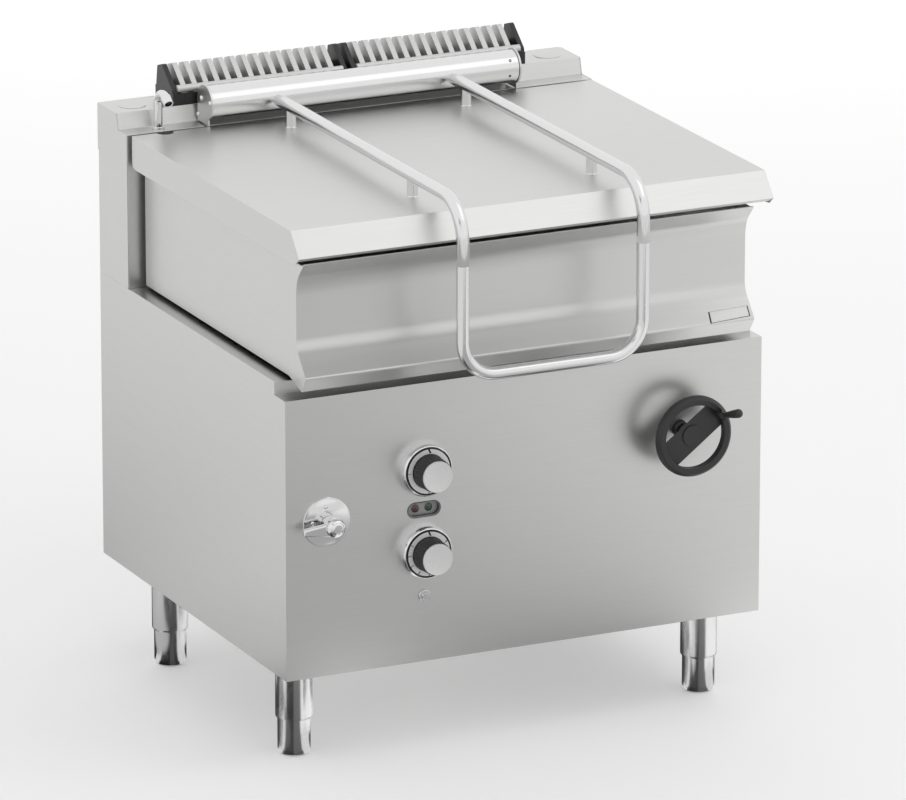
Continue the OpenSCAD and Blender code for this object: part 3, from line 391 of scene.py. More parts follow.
def lathe(name, outline, places, finish, like, steps=96, hides=()):
    """A turned piece, or several like ones in one mesh"""
    work = bmesh.new()
    for place in places:
        turned(work, outline, place, steps)
    return build(name, work, finish, like, hides=hides)


def of_kind(geom, kind):
    """The vertices or the edges among what an operator made"""
    return [g for g in geom if isinstance(g, kind)]


def prism(work, points, push, width, segments=2):
    """A bar whose end has the given points, pushed along, with its edges broken by width"""
    ends = [work.verts.new(point) for point in points]
    face = work.faces.new(ends)
    pushed = bmesh.ops.extrude_face_region(work, geom=[face])["geom"]
    moved = of_kind(pushed, bmesh.types.BMVert)
    bmesh.ops.translate(work, verts=moved, vec=push)
    solid = set(moved + ends)
    shell = {f for v in solid for f in v.link_faces}
    bmesh.ops.recalc_face_normals(work, faces=list(shell))
    if width:
        edges = [e for e in work.edges if set(e.verts) <= solid]
        bmesh.ops.bevel(
            work, geom=edges, offset=width * MM, segments=segments, profile=0.5,
            affect="EDGES", material=-1, clamp_overlap=True,
        )


def pipe(work, points, bends, radius, steps=14):
    """A round tube through points, with a bend of the given radius at each inner point"""
    heading = (points[1] - points[0]).normalized()
    ring = bmesh.ops.create_circle(
        work, segments=TUBE_SIDES, radius=radius, cap_ends=False,
        matrix=facing(points[0], heading),
    )["verts"]
    loop = list({e for v in ring for e in v.link_edges})
    ends = list(loop)
    here = points[0]
    for i in range(1, len(points)):
        heading = (points[i] - points[i - 1]).normalized()
        reach = points[i]
        last = i == len(points) - 1
        if not last:
            leaving = (points[i + 1] - points[i]).normalized()
            angle = heading.angle(leaving)
            cut = bends[i - 1] * math.tan(angle / 2)
            reach = points[i] - heading * cut
        pushed = bmesh.ops.extrude_edge_only(work, edges=loop)["geom"]
        moved = of_kind(pushed, bmesh.types.BMVert)
        bmesh.ops.translate(work, verts=moved, vec=reach - here)
        loop = of_kind(pushed, bmesh.types.BMEdge)
        if not last:
            normal = heading.cross(leaving).normalized()
            centre = reach + normal.cross(heading) * bends[i - 1]
            bent = bmesh.ops.spin(
                work, geom=moved + loop, cent=centre, axis=normal, angle=angle, steps=steps,
                use_merge=False,
            )["geom_last"]
            loop = of_kind(bent, bmesh.types.BMEdge)
            here = points[i] + leaving * cut
    bmesh.ops.edgeloop_fill(work, edges=ends)
    bmesh.ops.edgeloop_fill(work, edges=loop)


def raised(work, ring, rings, place, half=0):
    """Raises a ring of vertices through rings of (radius, height), in millimetres, closes both
    ends and puts the solid in its place. Its left and its right half each grow or shrink round
    a centre that is half apart from the middle"""
    loop = list({e for v in ring for e in v.link_edges})
    bottom = list(loop)
    made = list(ring)
    for (before, low), (after, high) in zip(rings, rings[1:]):
        pushed = bmesh.ops.extrude_edge_only(work, edges=loop)["geom"]
        moved = of_kind(pushed, bmesh.types.BMVert)
        bmesh.ops.translate(work, verts=moved, vec=(0, 0, (high - low) * MM))
        for side in (-1, 1):
            bmesh.ops.scale(
                work, verts=[v for v in moved if (v.co.x > 0) == (side > 0)],
                vec=(after / before, after / before, 1),
                space=Matrix.Translation((-side * half * MM, 0, 0)),
            )
        loop = of_kind(pushed, bmesh.types.BMEdge)
        made += moved
    bmesh.ops.edgeloop_fill(work, edges=bottom)
    bmesh.ops.edgeloop_fill(work, edges=loop)
    bmesh.ops.transform(work, matrix=place, verts=made)


def ribbed(work, rings, ribs, deep, place):
    """A round grip with ribs along it, as many and as deep as given, and a flat top"""
    radius, height = rings[0]
    ring = bmesh.ops.create_circle(
        work, segments=4 * ribs, radius=radius * MM, cap_ends=False,
        matrix=Matrix.Translation((0, 0, height * MM)),
    )["verts"]
    grooves = [v for i, v in enumerate(ring) if i % 4 > 1]
    shrink = 1 - deep / radius
    bmesh.ops.scale(work, verts=grooves, vec=(shrink, shrink, 1))
    raised(work, ring, rings, place)


def stadium(work, rings, half, place):
    """A long round-ended shape whose ends are half apart from its middle"""
    radius, height = rings[0]
    sides = 64
    half_step = Matrix.Rotation(math.pi / sides, 4, "Z")
    ring = bmesh.ops.create_circle(
        work, segments=sides, radius=radius * MM, cap_ends=False,
        matrix=Matrix.Translation((0, 0, height * MM)) @ half_step,
    )["verts"]
    for side in (-1, 1):
        end = [v for v in ring if v.co.x * side > 0]
        bmesh.ops.translate(work, verts=end, vec=(side * half * MM, 0, 0))
    raised(work, ring, rings, place, half)


def type_on(work, text, tall, place):
    """Adds printed type, tall millimetres high and as thin as ink, at a place"""
    curve = bpy.data.curves.new("type", "FONT")
    curve.body = text
    curve.size = tall * MM / TYPE_HEIGHT
    curve.align_x = "CENTER"
    curve.align_y = "CENTER"
    curve.extrude = INK * MM
    holder = bpy.data.objects.new("type", curve)
    mesh = bpy.data.meshes.new_from_object(holder)
    mesh.transform(place)
    work.from_mesh(mesh)
    bmesh.ops.remove_doubles(work, verts=work.verts, dist=WELD)
    bpy.data.objects.remove(holder)
    bpy.data.meshes.remove(mesh)
    bpy.data.curves.remove(curve)


# Settings


class FinishSettings(bpy.types.PropertyGroup):
    """Colours and gloss of the finishes"""
    steel: StringProperty(
        name="Sheet steel", description="Colour of the ground sheet", default="#D6D6D5"
    )
    steel_shade: StringProperty(
        name="Sheet streaks", description="Colour in the streaks", default="#D2D2D1"
    )
    sheet_rough: FloatProperty(
        name="Sheet roughness", description="Blur of the sheet's mirror", default=0.36
    )
    polish: StringProperty(
        name="Buffed steel", description="Colour of the buffed parts", default="#E2E2E3"
    )
    polish_rough: FloatProperty(
        name="Buffed roughness", description="Blur of the buffed parts", default=0.1
    )
    foot: StringProperty(name="Turned steel", description="Colour of the feet", default="#D8D8D8")
    tube: StringProperty(name="Tube", description="Colour of handle and posts", default="#E4E4E4")
    tube_shade: StringProperty(
        name="Tube streaks", description="Colour in its streaks", default="#DFDFDF"
    )
    tube_rough: FloatProperty(
        name="Tube roughness", description="Blur of handle and posts", default=0.18
    )
    cast: StringProperty(name="Casting", description="Colour of the flue grille", default="#D8D8D7")
    cast_shade: StringProperty(
        name="Casting pits", description="Colour in its pits", default="#CACAC9"
    )
    enamel: StringProperty(name="Enamel", description="Colour of the black iron", default="#262627")
    enamel_shade: StringProperty(
        name="Enamel dips", description="Colour in its dips", default="#1D1D1E"
    )
    phenolic: StringProperty(
        name="Phenolic", description="Colour of wheel and grips", default="#2C2C2D"
    )
    phenolic_shade: StringProperty(
        name="Phenolic grain", description="Colour in its grain", default="#232324"
    )
    foil: StringProperty(name="Dial foil", description="Colour of the dials", default="#EEEEEE")
    foil_shade: StringProperty(
        name="Dial flakes", description="Colour of its flakes", default="#E4E4E4"
    )
    cap: StringProperty(name="Knob cap", description="Colour of the knobs' caps", default="#F0F0F0")
    red: StringProperty(name="Red lens", description="Colour of the left pilot", default="#4E2222")
    green: StringProperty(
        name="Green lens", description="Colour of the right pilot", default="#23472B"
    )


class EdgeSettings(bpy.types.PropertyGroup):
    """How far the edges are broken"""
    fold: FloatProperty(
        name="Folds", description="Round on folded sheet, in mm", default=0.9, min=0.1
    )
    part: FloatProperty(
        name="Small parts", description="Round on small parts, in mm", default=0.5, min=0.1
    )
    cast: FloatProperty(
        name="Castings", description="Round on the castings, in mm", default=1.2, min=0.1
    )


class DialSettings(bpy.types.PropertyGroup):
    """Print on the dials, in millimetres"""
    tall: FloatProperty(name="Figures", description="Height of the figures", default=5.5, min=1.0)
    radius: FloatProperty(
        name="Circle", description="Radius of the circle of figures", default=31.8, min=5.0
    )
    ribs: IntProperty(name="Ribs", description="Number of ribs on a grip", default=40, min=6)


class StudioSettings(bpy.types.PropertyGroup):
    """Camera and light, from the photograph's geometry"""
    focal: FloatProperty(
        name="Focal length", description="In pixels of the photograph's width", default=8511.0
    )
    azimuth: FloatProperty(
        name="Azimuth", description="Turn of the view in degrees", default=-25.49
    )
    elevation: FloatProperty(
        name="Elevation", description="Height of the view in degrees", default=17.01
    )
    roll: FloatProperty(name="Roll", description="Roll of the view in degrees", default=0.039)
    eye_x: FloatProperty(
        name="Eye X", description="Place of the camera", default=-5.3913, unit="LENGTH"
    )
    eye_y: FloatProperty(
        name="Eye Y", description="Place of the camera", default=-11.3529, unit="LENGTH"
    )
    eye_z: FloatProperty(
        name="Eye Z", description="Height of the camera", default=4.3030, unit="LENGTH"
    )
    floor: StringProperty(name="Floor", description="Colour of the floor", default="#E8E8E8")
    room: FloatProperty(
        name="Room light", description="Strength of the room's even light", default=0.7
    )
    lamps: FloatProperty(name="Lamps", description="Radiance of the soft boxes", default=1.25)


# Pieces


class BRATT_OT_sheets(bpy.types.Operator):
    """Finishes the cabinet's and the column's folded sheets"""
    bl_idname = "bratt.sheets"
    bl_label = "Cabinet sheets"

    def execute(self, context):
        width = context.scene.bratt_edges.fold
        for node in ("side_panel_left", "side_panel_right", "column_side_left", "column_side_right"):
            softened(node, "sheet_y", min(width, SHEET_ROUND))
        for node in ("front_panel", "deck", "back_panel", "column_front", "column_back", "base_tray"):
            softened(node, "sheet_x", min(width, SHEET_ROUND))
        softened("column_plugs", "sheet_x", 0.2)
        return {"FINISHED"}


class BRATT_OT_pan(bpy.types.Operator):
    """Finishes the pan and puts the bare plate on its slope"""
    bl_idname = "bratt.pan"
    bl_label = "Pan"

    def execute(self, context):
        width = context.scene.bratt_edges.fold
        softened("pan_casing", "sheet_y", min(width, SHEET_ROUND))
        softened("pan_front", "sheet_x", 0.3, sharp=20, reshape=deepen_lip)
        softened("pan_vessel", "sheet_x", SHEET_ROUND)
        corners = [
            at(303.7, -9.0, 643.8), at(369.5, -7.6, 645.5),
            at(369.0, -18.7, 632.6), at(301.9, -21.1, 629.8),
        ]
        outward = (corners[2] - corners[1]).cross(corners[0] - corners[1]).normalized()
        if outward.y > 0:
            outward.negate()
        centre = sum(corners, Vector()) / 4
        plates = (("plate_rim", 1.03, 0.6, "ink"), ("bare_plate", 0.97, 1.1, "plate"))
        for name, grow, thick, finish in plates:
            work = bmesh.new()
            ends = [centre + (corner - centre) * grow - outward * MM for corner in corners]
            prism(work, ends, outward * (1 + thick) * MM, 0.3)
            build(name, work, finish, "pan_front")
        return {"FINISHED"}


def deepen_lip(work):
    """Draws the band under the pouring lip down to its crease, 2.2 times as deep"""
    lip_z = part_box("pan_front")[1].z - 1.3 * MM
    below, above, back = 27.5 * MM, 3.5 * MM, PANEL_Y + 14.5 * MM
    band = [v for v in work.verts if above < lip_z - v.co.z < below and v.co.y < back]
    bmesh.ops.scale(work, verts=band, vec=(1, 1, 2.2), space=Matrix.Translation((0, 0, -lip_z)))


class BRATT_OT_lid(bpy.types.Operator):
    """Finishes the lid's shell"""
    bl_idname = "bratt.lid"
    bl_label = "Lid"

    def execute(self, context):
        softened("lid_shell", "sheet_x", context.scene.bratt_edges.fold, 3)
        return {"FINISHED"}


class BRATT_OT_handle(bpy.types.Operator):
    """Bends the lid's handle and turns its four posts"""
    bl_idname = "bratt.handle"
    bl_label = "Handle"

    def execute(self, context):
        low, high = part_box("handle")
        radius, upper_bend, lower_bend = 10 * MM, 62 * MM, 55 * MM
        left, right = low.x + radius, high.x - radius
        drop, top, bottom = low.y + radius, high.z - radius, low.z + radius
        rear = high.y
        path = [
            Vector((left, rear, top)), Vector((left, drop, top)), Vector((left, drop, bottom)),
            Vector((right, drop, bottom)), Vector((right, drop, top)), Vector((right, rear, top)),
        ]
        work = bmesh.new()
        pipe(work, path, [upper_bend, lower_bend, lower_bend, upper_bend], radius)
        build("handle_tube", work, "tube", "handle", hides=["handle"])
        low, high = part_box("lid_posts")
        post = 8.5 * MM
        tall = (high.z - low.z) / MM
        outline = [(0, 0), (9.1, 0), (8.6, 0.7), (8.5, 1.4), (8.5, tall), (0, tall)]
        across, along = (low.x + post, high.x - post), (low.y + post, high.y - post)
        places = [facing((x, y, low.z), UP) for x in across for y in along]
        lathe("handle_posts", outline, places, "tube", "lid_posts", steps=64, hides=["lid_posts"])
        return {"FINISHED"}


class BRATT_OT_hinge(bpy.types.Operator):
    """Finishes the hinge tube and its end plates, and sets their bolts and screws"""
    bl_idname = "bratt.hinge"
    bl_label = "Lid hinge"

    def execute(self, context):
        softened("hinge_cover", "tube", 0.5)
        softened("hinge_brackets", "sheet_y", context.scene.bratt_edges.part)
        axis = middle("hinge_cover")
        low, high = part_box("hinge_cover")
        radius = (high.z - low.z) / 2
        plate_x = 266.0
        bolt = [(0, -0.5), (4.2, -0.5), (4.2, 0.6), (3.7, 1.8), (2.6, 2.7), (1.2, 3.1), (0, 3.2)]
        places = [
            facing(at(side * plate_x, y, z), (side, 0, 0))
            for side in (-1, 1) for y, z in ((604.2, 897.9), (571.1, 896.7), (616.4, 869.7))
        ]
        lathe("hinge_bolts", bolt, places, "polish", "hinge_brackets", 32)
        screw = [
            (0, -0.5), (2.3, -0.5), (2.3, 0.1), (1.9, 0.35), (1.0, 0.35), (0.7, -0.3), (0, -0.3),
        ]
        # Each screw's place along the tube, and its turn up from the front in degrees
        places = []
        for x, turn in ((248.5, 34), (247.0, -21), (254.0, 116)):
            out = Vector((0, -math.cos(math.radians(turn)), math.sin(math.radians(turn))))
            places.append(facing(Vector((x * MM, axis.y, axis.z)) + out * radius, out))
        lathe("hinge_screws", screw, places, "ink", "hinge_cover", 24)
        return {"FINISHED"}


class BRATT_OT_grille(bpy.types.Operator):
    """Finishes the cast flue grille and its black frame"""
    bl_idname = "bratt.grille"
    bl_label = "Flue grille"

    def execute(self, context):
        width = context.scene.bratt_edges.cast
        for node in ("flue_grille_left", "flue_grille_right"):
            softened(node, "cast", width, 3, 25)
        softened("flue_frame", "enamel", width, 3, 25)
        return {"FINISHED"}


class BRATT_OT_spout(bpy.types.Operator):
    """Bends the swan neck and turns its flange and its mouth"""
    bl_idname = "bratt.spout"
    bl_label = "Water spout"

    def execute(self, context):
        turn = math.radians(125)
        bend, radius, flange, ledge_z = 20 * MM, 7 * MM, 9.5 * MM, 857.5 * MM
        low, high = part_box("spout")
        foot = Vector((middle("spout").x, high.y - flange, low.z))
        ledge = Vector((foot.x, foot.y, ledge_z))
        reach = bend * math.tan(turn / 2)
        crown = Vector((foot.x, foot.y, high.z - radius - bend + reach))
        falling = Vector((0, -math.sin(turn), math.cos(turn)))
        work = bmesh.new()
        pipe(work, [foot, crown, crown + falling * (reach + 2 * MM)], [bend], radius, steps=24)
        collar = [(6.5, 0), (9.5, 0), (9.5, 3.2), (8.9, 3.9), (7.2, 4), (6.5, 4), (6.5, 0)]
        turned(work, collar, facing(ledge, UP), 64)
        mouth = [
            (6.9, -3), (7.6, -3), (8, -2.6), (8, 11.5), (7.6, 12), (6.2, 12), (5.8, 11.6),
            (5.8, 2), (6.9, 2), (6.9, -3),
        ]
        lip = facing(crown + falling * reach, falling)
        turned(work, mouth, lip, 64)
        build("swan_neck", work, "polish", "spout", hides=["spout"])
        # A black disc set inside the mouth stands in for the shade deep in the bore: painted shade
        bore = [(0, 1.9), (5.7, 1.9), (5.7, 3.4), (0, 3.4)]
        lathe("swan_neck_bore_painted_shade", bore, [lip], "ink", "spout", 32)
        return {"FINISHED"}


class BRATT_OT_tap(bpy.types.Operator):
    """Turns the tap's plate, its screws and its hub, and shapes the lever"""
    bl_idname = "bratt.tap"
    bl_label = "Water tap"

    def execute(self, context):
        centre = on_panel("tap_plate")
        edge, edge_height, rise = 37.5, 1.8, 4.0
        dome = [
            (r, edge_height + rise * (1 - (r / edge) ** 2))
            for r in (edge, 34, 30, 26, 22, 18, 14, 10.5, 9)
        ]
        plate = [(9, 0), (39, 0), (39, 1.1), (38.5, 1.7)] + dome + [(9, 0)]
        lathe("tap_rose", plate, [facing(centre, FRONT)], "polish", "tap_plate", hides=["tap_plate"])
        screw = [(0, 0), (3.2, 0), (3.2, 0.7), (2.7, 1.4), (1.5, 1.9), (0, 2.0)]
        places = [facing(at(-335.6, -3.9, 419.1), FRONT), facing(at(-357.5, -3.9, 395.8), FRONT)]
        lathe("tap_screws", screw, places, "polish", "tap_plate", steps=32)
        hub = [
            (0, 6.2), (11, 6.2), (13, 16), (15, 22), (15, 35), (14.4, 37.8), (12.6, 40.2),
            (10.4, 41.4), (9.9, 41.0), (9.4, 41.6), (6.9, 42.5), (6.4, 42.0), (5.9, 42.7), (0, 43),
        ]
        work = bmesh.new()
        turned(work, hub, facing(centre, FRONT))
        lever = [
            at(-336, -32.5, 401.8), at(-336, -32.5, 380.0),
            at(-379.5, -23.3, 383.2), at(-379.5, -23.3, 393.1),
        ]
        prism(work, lever, Vector((0, 9 * MM, 0)), 1.8, 3)
        build("tap_lever_arm", work, "polish", "tap_lever", hides=["tap_lever"])
        return {"FINISHED"}


class BRATT_OT_dials(bpy.types.Operator):
    """Turns the bezels and builds both knobs: skirt, dial foil, print, ribbed grip and steel cap"""
    bl_idname = "bratt.dials"
    bl_label = "Knobs and bezels"

    def execute(self, context):
        dial = context.scene.bratt_dials
        # Outlines are (radius, height above the panel); the rim is a quarter of an ellipse
        rim = [
            (38 + 4 * math.cos(math.radians(turn)), 6 + 11 * math.sin(math.radians(turn)))
            for turn in range(0, 91, 9)
        ]
        bezel = [(42, 0)] + rim + [(37.75, 14), (6.2, 14), (6.2, 0), (42, 0)]
        face, foil_top = 18, 18.15
        skirt = [(0, -39), (4, -39), (4, 15), (37.25, 15), (37.25, face), (0, face)]
        foil = [(27.5, face), (34.8, face), (34.8, foil_top), (27.5, foil_top), (27.5, face)]
        cap = [(0, 46), (24.3, 46), (24.3, 50.1), (23.7, 50.9), (22.3, 50.6), (0, 50.5)]
        figures = {
            "upper": [(str(i + 1), 90 * (i + 1)) for i in range(3)],
            "lower": [(str(i + 1), 60 + 30 * i) for i in range(9)],
        }
        for name, marks in figures.items():
            knob = "knob_" + name
            place = facing(on_panel(knob), FRONT)
            ring = "bezel_" + name
            lathe("bezel_ring_" + name, bezel, [place], "polish", ring, hides=[ring])
            lathe(knob + "_skirt", skirt, [place], "ink", knob, hides=[knob])
            lathe(knob + "_foil", foil, [place], "foil", knob)
            work = bmesh.new()
            grip = [(27, face), (25.9, 44), (25.6, 46.6), (25.0, 47.4)]
            ribbed(work, grip, dial.ribs, 0.8, place)
            build(knob + "_grip", work, "phenolic", knob)
            lathe(knob + "_cap", cap, [place], "cap", knob)
            work = bmesh.new()
            print_at = Matrix.Translation((0, 0, (foil_top + INK) * MM))
            for text, turn in marks:
                spin = Matrix.Rotation(math.radians(turn), 4, "Z")
                out = Matrix.Translation((0, dial.radius * MM, 0))
                type_on(work, text, dial.tall, place @ print_at @ spin @ out)
            # The mark at the top leans to the left
            line = [
                place @ Vector((x * MM, y * MM, (foil_top - 0.05) * MM))
                for x, y in ((0.9, 28.5), (3.9, 28.5), (1.0, 35.0), (-2.0, 35.0))
            ]
            prism(work, line, Vector(FRONT) * 0.15 * MM, 0)
            build(knob + "_print", work, "ink", knob)
        return {"FINISHED"}


class BRATT_OT_pilots(bpy.types.Operator):
    """Makes the round-ended window with the red and the green pilot light"""
    bl_idname = "bratt.pilots"
    bl_label = "Pilot lights"

    def execute(self, context):
        place, half = facing(on_panel("pilot_bezel"), FRONT), 15.5
        work = bmesh.new()
        rings = [
            (11.2, -10), (11.2, 0), (12.5, 0), (12.5, 0.6), (12.1, 1), (11.2, 1), (10.9, 0.6),
            (10.6, -8.5),
        ]
        stadium(work, rings, half, place)
        build("pilot_window", work, "grey", "pilot_bezel", hides=["pilot_bezel"])
        work = bmesh.new()
        stadium(work, [(10.4, -8.7), (10.4, -8.3)], half, place)
        build("pilot_back", work, "pocket", "pilot_bezel")
        lens = [(0, -14), (6.4, -14), (6.4, -8.2), (6.1, -7.4), (4.6, -6.6), (2.4, -6.2), (0, -6.1)]
        for colour in ("red", "green"):
            node = "pilot_lens_" + colour
            place = facing(on_panel(node), FRONT)
            lathe("lens_" + colour, lens, [place], colour, node, steps=48, hides=[node])
        return {"FINISHED"}


class BRATT_OT_reset(bpy.types.Operator):
    """Finishes the safety reset's ring and its button"""
    bl_idname = "bratt.reset"
    bl_label = "Safety reset"

    def execute(self, context):
        softened("reset_ring", "polish", 0.5, 3)
        bead = [
            (7.4, 1.2), (7.5, 1.9), (7.9, 2.35), (8.5, 2.48), (9.1, 2.3), (9.5, 1.8), (9.6, 1),
            (7.4, 1.2),
        ]
        place = facing(on_panel("reset_ring"), FRONT)
        lathe("reset_bead", bead, [place], "polish", "reset_ring", steps=48)
        softened("reset_button", "foot", 0.6, 3)
        return {"FINISHED"}


class BRATT_OT_wheel(bpy.types.Operator):
    """Finishes the hand wheel, its collar and its folding grip"""
    bl_idname = "bratt.wheel"
    bl_label = "Hand wheel"

    def execute(self, context):
        width = context.scene.bratt_edges.part
        softened("hand_wheel", "phenolic", width, 3, 25)
        softened("wheel_collar", "enamel", width, 3)
        softened("crank_grip", "phenolic", width, 3)
        return {"FINISHED"}


class BRATT_OT_feet(bpy.types.Operator):
    """Finishes the four feet and their sleeves"""
    bl_idname = "bratt.feet"
    bl_label = "Feet"

    def execute(self, context):
        for node in (*sorted(FEET), "foot_sleeves"):
            softened(node, "foot", 0.6, 3)
        return {"FINISHED"}


class BRATT_OT_rest(bpy.types.Operator):
    """Finishes every part that has no piece of its own"""
    bl_idname = "bratt.rest"
    bl_label = "Other parts"

    def execute(self, context):
        for node, piece in frame["nodes"].items():
            if piece.hide_render:
                continue
            piece.data.materials.clear()
            piece.data.materials.append(material(SLOT_MATERIALS[SLOT_OF[node]]))
        return {"FINISHED"}


class BRATT_OT_stage(bpy.types.Operator):
    """Builds the floor, the lamps, the world and the camera"""
    bl_idname = "bratt.stage"
    bl_label = "Studio"

    def execute(self, context):
        studio = context.scene.bratt_studio
        lay_floor(studio)
        light_world(studio)
        hang_lamps(studio)
        set_cards()
        place_camera(studio)
        context.scene.view_settings.view_transform = "Standard"
        return {"FINISHED"}


# Studio


def seen_directly(tree):
    """The output that is 1 for rays from the camera and mirrored and transmitted ones, else 0"""
    path = add(tree, "ShaderNodeLightPath")
    seen = (path, "Is Camera Ray")
    for other in ("Is Glossy Ray", "Is Transmission Ray"):
        either = add(tree, "ShaderNodeMath", None, {0: seen, 1: (path, other)}, operation="MAXIMUM")
        seen = (either, 0)
    return seen


def stage_piece(name, work, made):
    """A stage piece of a bmesh, with its material"""
    mesh = bpy.data.meshes.new(name)
    work.to_mesh(mesh)
    work.free()
    mesh.materials.append(made)
    piece = bpy.data.objects.new(name, mesh)
    bpy.context.scene.collection.objects.link(piece)
    return piece


def lay_floor(studio):
    """A wide pale floor that stays white for the camera and keeps the shadow"""
    made, tree, shader = blank(
        "pale studio floor", studio.floor, Roughness=0.9, Specular_IOR_Level=0.0,
        Emission_Color=WHITE,
    )
    glow = add(
        tree, "ShaderNodeMath", {1: FLOOR_GLOW}, {0: seen_directly(tree)}, operation="MULTIPLY"
    )
    tree.links.new(glow.outputs[0], shader.inputs["Emission Strength"])
    work = bmesh.new()
    bmesh.ops.create_grid(work, x_segments=2, y_segments=2, size=30.0)
    stage_piece("floor", work, made)


def light_world(studio):
    """A white room that lights the object a little less than it shows"""
    world = bpy.data.worlds.new("studio")
    bpy.context.scene.world = world
    world.use_nodes = True
    tree = world.node_tree
    strength = add(
        tree, "ShaderNodeMapRange", {"To Min": studio.room, "To Max": 1.0},
        {"Value": seen_directly(tree)},
    )
    back = tree.nodes["Background"]
    back.inputs["Color"].default_value = WHITE
    tree.links.new(strength.outputs[0], back.inputs["Strength"])


def lamp(name, place, target, size, radiance):
    """A soft box that looks at target; its power follows from its area and its radiance"""
    data = bpy.data.lights.new(name, "AREA")
    data.shape = "RECTANGLE"
    data.size, data.size_y = size
    data.energy = radiance * math.pi * size[0] * size[1]
    made = bpy.data.objects.new(name, data)
    aim = (Vector(target) - Vector(place)).to_track_quat("-Z", "Y")
    made.matrix_world = Matrix.Translation(place) @ aim.to_matrix().to_4x4()
    made.visible_glossy = False
    bpy.context.scene.collection.objects.link(made)


def hang_lamps(studio):
    """A broad soft box behind the pan and one high in front of it, which the metal doesn't mirror"""
    lamp("rear soft box", (3.0, 6.0, 2.5), (0.0, 0.0, 0.8), (6.0, 4.0), studio.lamps)
    lamp("front soft box", (1.6, -1.7, 3.2), (0.0, 0.0, 0.8), (2.0, 1.6), studio.lamps)


def card(name, corner, across, along, axis, span, tones):
    """A card that only shows as a reflection, and whose tone changes over a span of an axis"""
    made, tree, shader = blank(
        name, "#000000", Roughness=1.0, Specular_IOR_Level=0.0, Emission_Color=WHITE
    )
    coords = add(tree, "ShaderNodeTexCoord")
    apart = add(tree, "ShaderNodeSeparateXYZ", None, {"Vector": (coords, "Object")})
    fade = add(
        tree, "ShaderNodeMapRange",
        {"From Min": span[0], "From Max": span[1], "To Min": tones[0], "To Max": tones[1]},
        {"Value": (apart, axis)}, interpolation_type="SMOOTHSTEP",
    )
    tree.links.new(fade.outputs[0], shader.inputs["Emission Strength"])
    corner, across, along = Vector(corner), Vector(across), Vector(along)
    only_mirrored(name, (corner, corner + across, corner + across + along, corner + along), made)


def only_mirrored(name, corners, made):
    """A flat stage piece that only reflections show"""
    work = bmesh.new()
    work.faces.new([work.verts.new(corner) for corner in corners])
    piece = stage_piece(name, work, made)
    piece.visible_camera = False
    piece.visible_diffuse = False
    piece.visible_shadow = False


def foot_cards():
    """Wedges on the floor that spread from each foot and give its chrome upright stripes. Their
    sides are turns in degrees, from the front to the right"""
    dull = {"Roughness": 1.0, "Specular_IOR_Level": 0.0}
    dark = blank("dark card", "#3A3A3A", **dull)[0]
    middling = blank("middling card", "#8A8A8A", **dull)[0]
    pale = blank(
        "pale card", "#000000", Roughness=1.0, Emission_Color=WHITE, Emission_Strength=1.15
    )[0]
    wedges = (
        (-68, -26, dark), (-26, 14, middling), (20, 84, pale), (104, 150, dark),
        (-205, -140, dark), (-122, -80, pale),
    )
    for node in FEET:
        centre = middle(node)
        apex = Vector((centre.x, centre.y, 0.003))
        for first, last, tone in wedges:
            turns = [math.radians(turn) for turn in (first, (first + last) / 2, last)]
            ends = [apex + WEDGE * Vector((math.sin(t), -math.cos(t), 0)) for t in turns]
            only_mirrored(f"{node}_card_{last}", (apex, *ends), tone)


def set_cards():
    """The cards that the sheets and the chrome mirror"""
    foot_cards()
    card("high_flag", (-2.1, -2.0, 2.1), (0.6, -0.5, 0), (0.1, 0.1, 0.7), "X", (-3, 3), (0.1, 0.1))
    card(
        "slope_flag", (-0.5, -0.46, 0.795), (1.1, 0, 0), (0, 0.1, 0), "X", (-0.1, 0.6),
        (0.45, 1.0),
    )
    card(
        "floor_card_front", (-0.9, -2.8, 0.004), (2.6, 0, 0), (0, 2.1, 0), "X", (0.0, 1.2),
        (0.45, 1.0),
    )
    card(
        "floor_card_left", (-2.2, 0.1, 0.004), (1.78, 0, 0), (0, 3.3, 0), "X", (-1.6, -0.45),
        (1.0, 0.55),
    )
    card("far_card", (-0.9, -4.6, 0.004), (2.6, 0, 0), (0, 1.8, 0), "Y", (-4.6, -2.8), (1.0, 0.7))
    card(
        "line_card", (0.55, -3.4, 0.006), (0.42, 0, 0), (-0.3, 1.25, 0), "X", (-3, 3),
        (0.12, 0.12),
    )
    card("high_card", (0.2, -2.6, 3.0), (2.6, 0, 0), (0, 2.2, 0), "X", (0.2, 1.0), (1.2, 1.35))


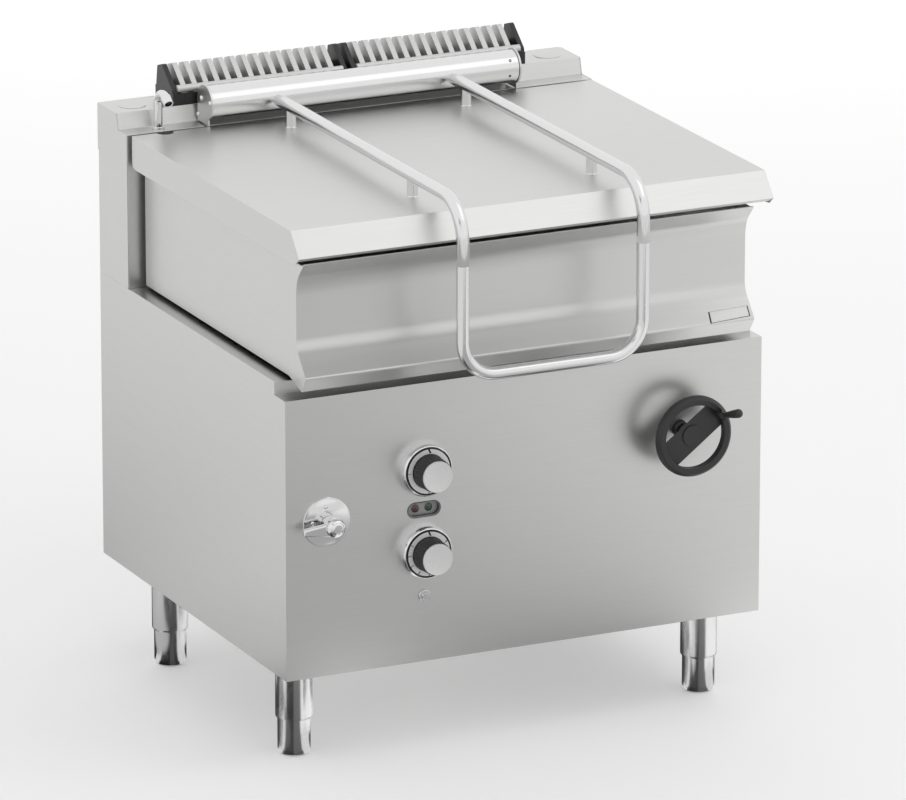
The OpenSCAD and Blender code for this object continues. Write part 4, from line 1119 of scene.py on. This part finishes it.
def place_camera(studio):
    """The camera that the photograph was taken with"""
    azimuth, elevation = math.radians(studio.azimuth), math.radians(studio.elevation)
    right = Vector((math.cos(azimuth), math.sin(azimuth), 0.0))
    back = Vector((
        math.sin(azimuth) * math.cos(elevation), -math.cos(azimuth) * math.cos(elevation),
        math.sin(elevation),
    ))
    up = back.cross(right)
    roll = Matrix.Rotation(math.radians(studio.roll), 3, "Z")
    turn = Matrix((right, up, back)).transposed() @ roll
    data = bpy.data.cameras.new("camera")
    data.sensor_fit = "HORIZONTAL"
    data.sensor_width = 36.0
    data.lens = studio.focal / PHOTO_WIDTH * data.sensor_width
    data.clip_end = 200.0
    made = bpy.data.objects.new("camera", data)
    eye = Matrix.Translation((studio.eye_x, studio.eye_y, studio.eye_z))
    made.matrix_world = eye @ turn.to_4x4()
    bpy.context.scene.collection.objects.link(made)
    bpy.context.scene.camera = made


# Add-on


OPERATORS = (
    BRATT_OT_sheets, BRATT_OT_pan, BRATT_OT_lid, BRATT_OT_handle, BRATT_OT_hinge,
    BRATT_OT_grille, BRATT_OT_spout, BRATT_OT_tap, BRATT_OT_dials, BRATT_OT_pilots,
    BRATT_OT_reset, BRATT_OT_wheel, BRATT_OT_feet, BRATT_OT_rest, BRATT_OT_stage,
)
SETTINGS = {
    "bratt_finish": FinishSettings, "bratt_edges": EdgeSettings, "bratt_dials": DialSettings,
    "bratt_studio": StudioSettings,
}


class BRATT_PT_panel(bpy.types.Panel):
    """Lists the sizes, the colours and the steps"""
    bl_idname = "BRATT_PT_panel"
    bl_label = "Bratt pan"
    bl_space_type = "VIEW_3D"
    bl_region_type = "UI"
    bl_category = "Bratt pan"

    def draw(self, context):
        for name, group in SETTINGS.items():
            box = self.layout.box()
            for setting in group.__annotations__:
                box.prop(getattr(context.scene, name), setting)
        for operator in OPERATORS:
            self.layout.operator(operator.bl_idname)


CLASSES = (*SETTINGS.values(), *OPERATORS, BRATT_PT_panel)


def register():
    for entry in CLASSES:
        bpy.utils.register_class(entry)
    for name, group in SETTINGS.items():
        setattr(bpy.types.Scene, name, PointerProperty(type=group))


def unregister():
    for name in SETTINGS:
        delattr(bpy.types.Scene, name)
    for entry in reversed(CLASSES):
        bpy.utils.unregister_class(entry)


def main():
    register()
    bpy.ops.bratt.sheets()
    bpy.ops.bratt.pan()
    bpy.ops.bratt.lid()
    bpy.ops.bratt.handle()
    bpy.ops.bratt.hinge()
    bpy.ops.bratt.grille()
    bpy.ops.bratt.spout()
    bpy.ops.bratt.tap()
    bpy.ops.bratt.dials()
    bpy.ops.bratt.pilots()
    bpy.ops.bratt.reset()
    bpy.ops.bratt.wheel()
    bpy.ops.bratt.feet()
    bpy.ops.bratt.rest()
    bpy.ops.bratt.stage()


if __name__ == "__main__":
    main()
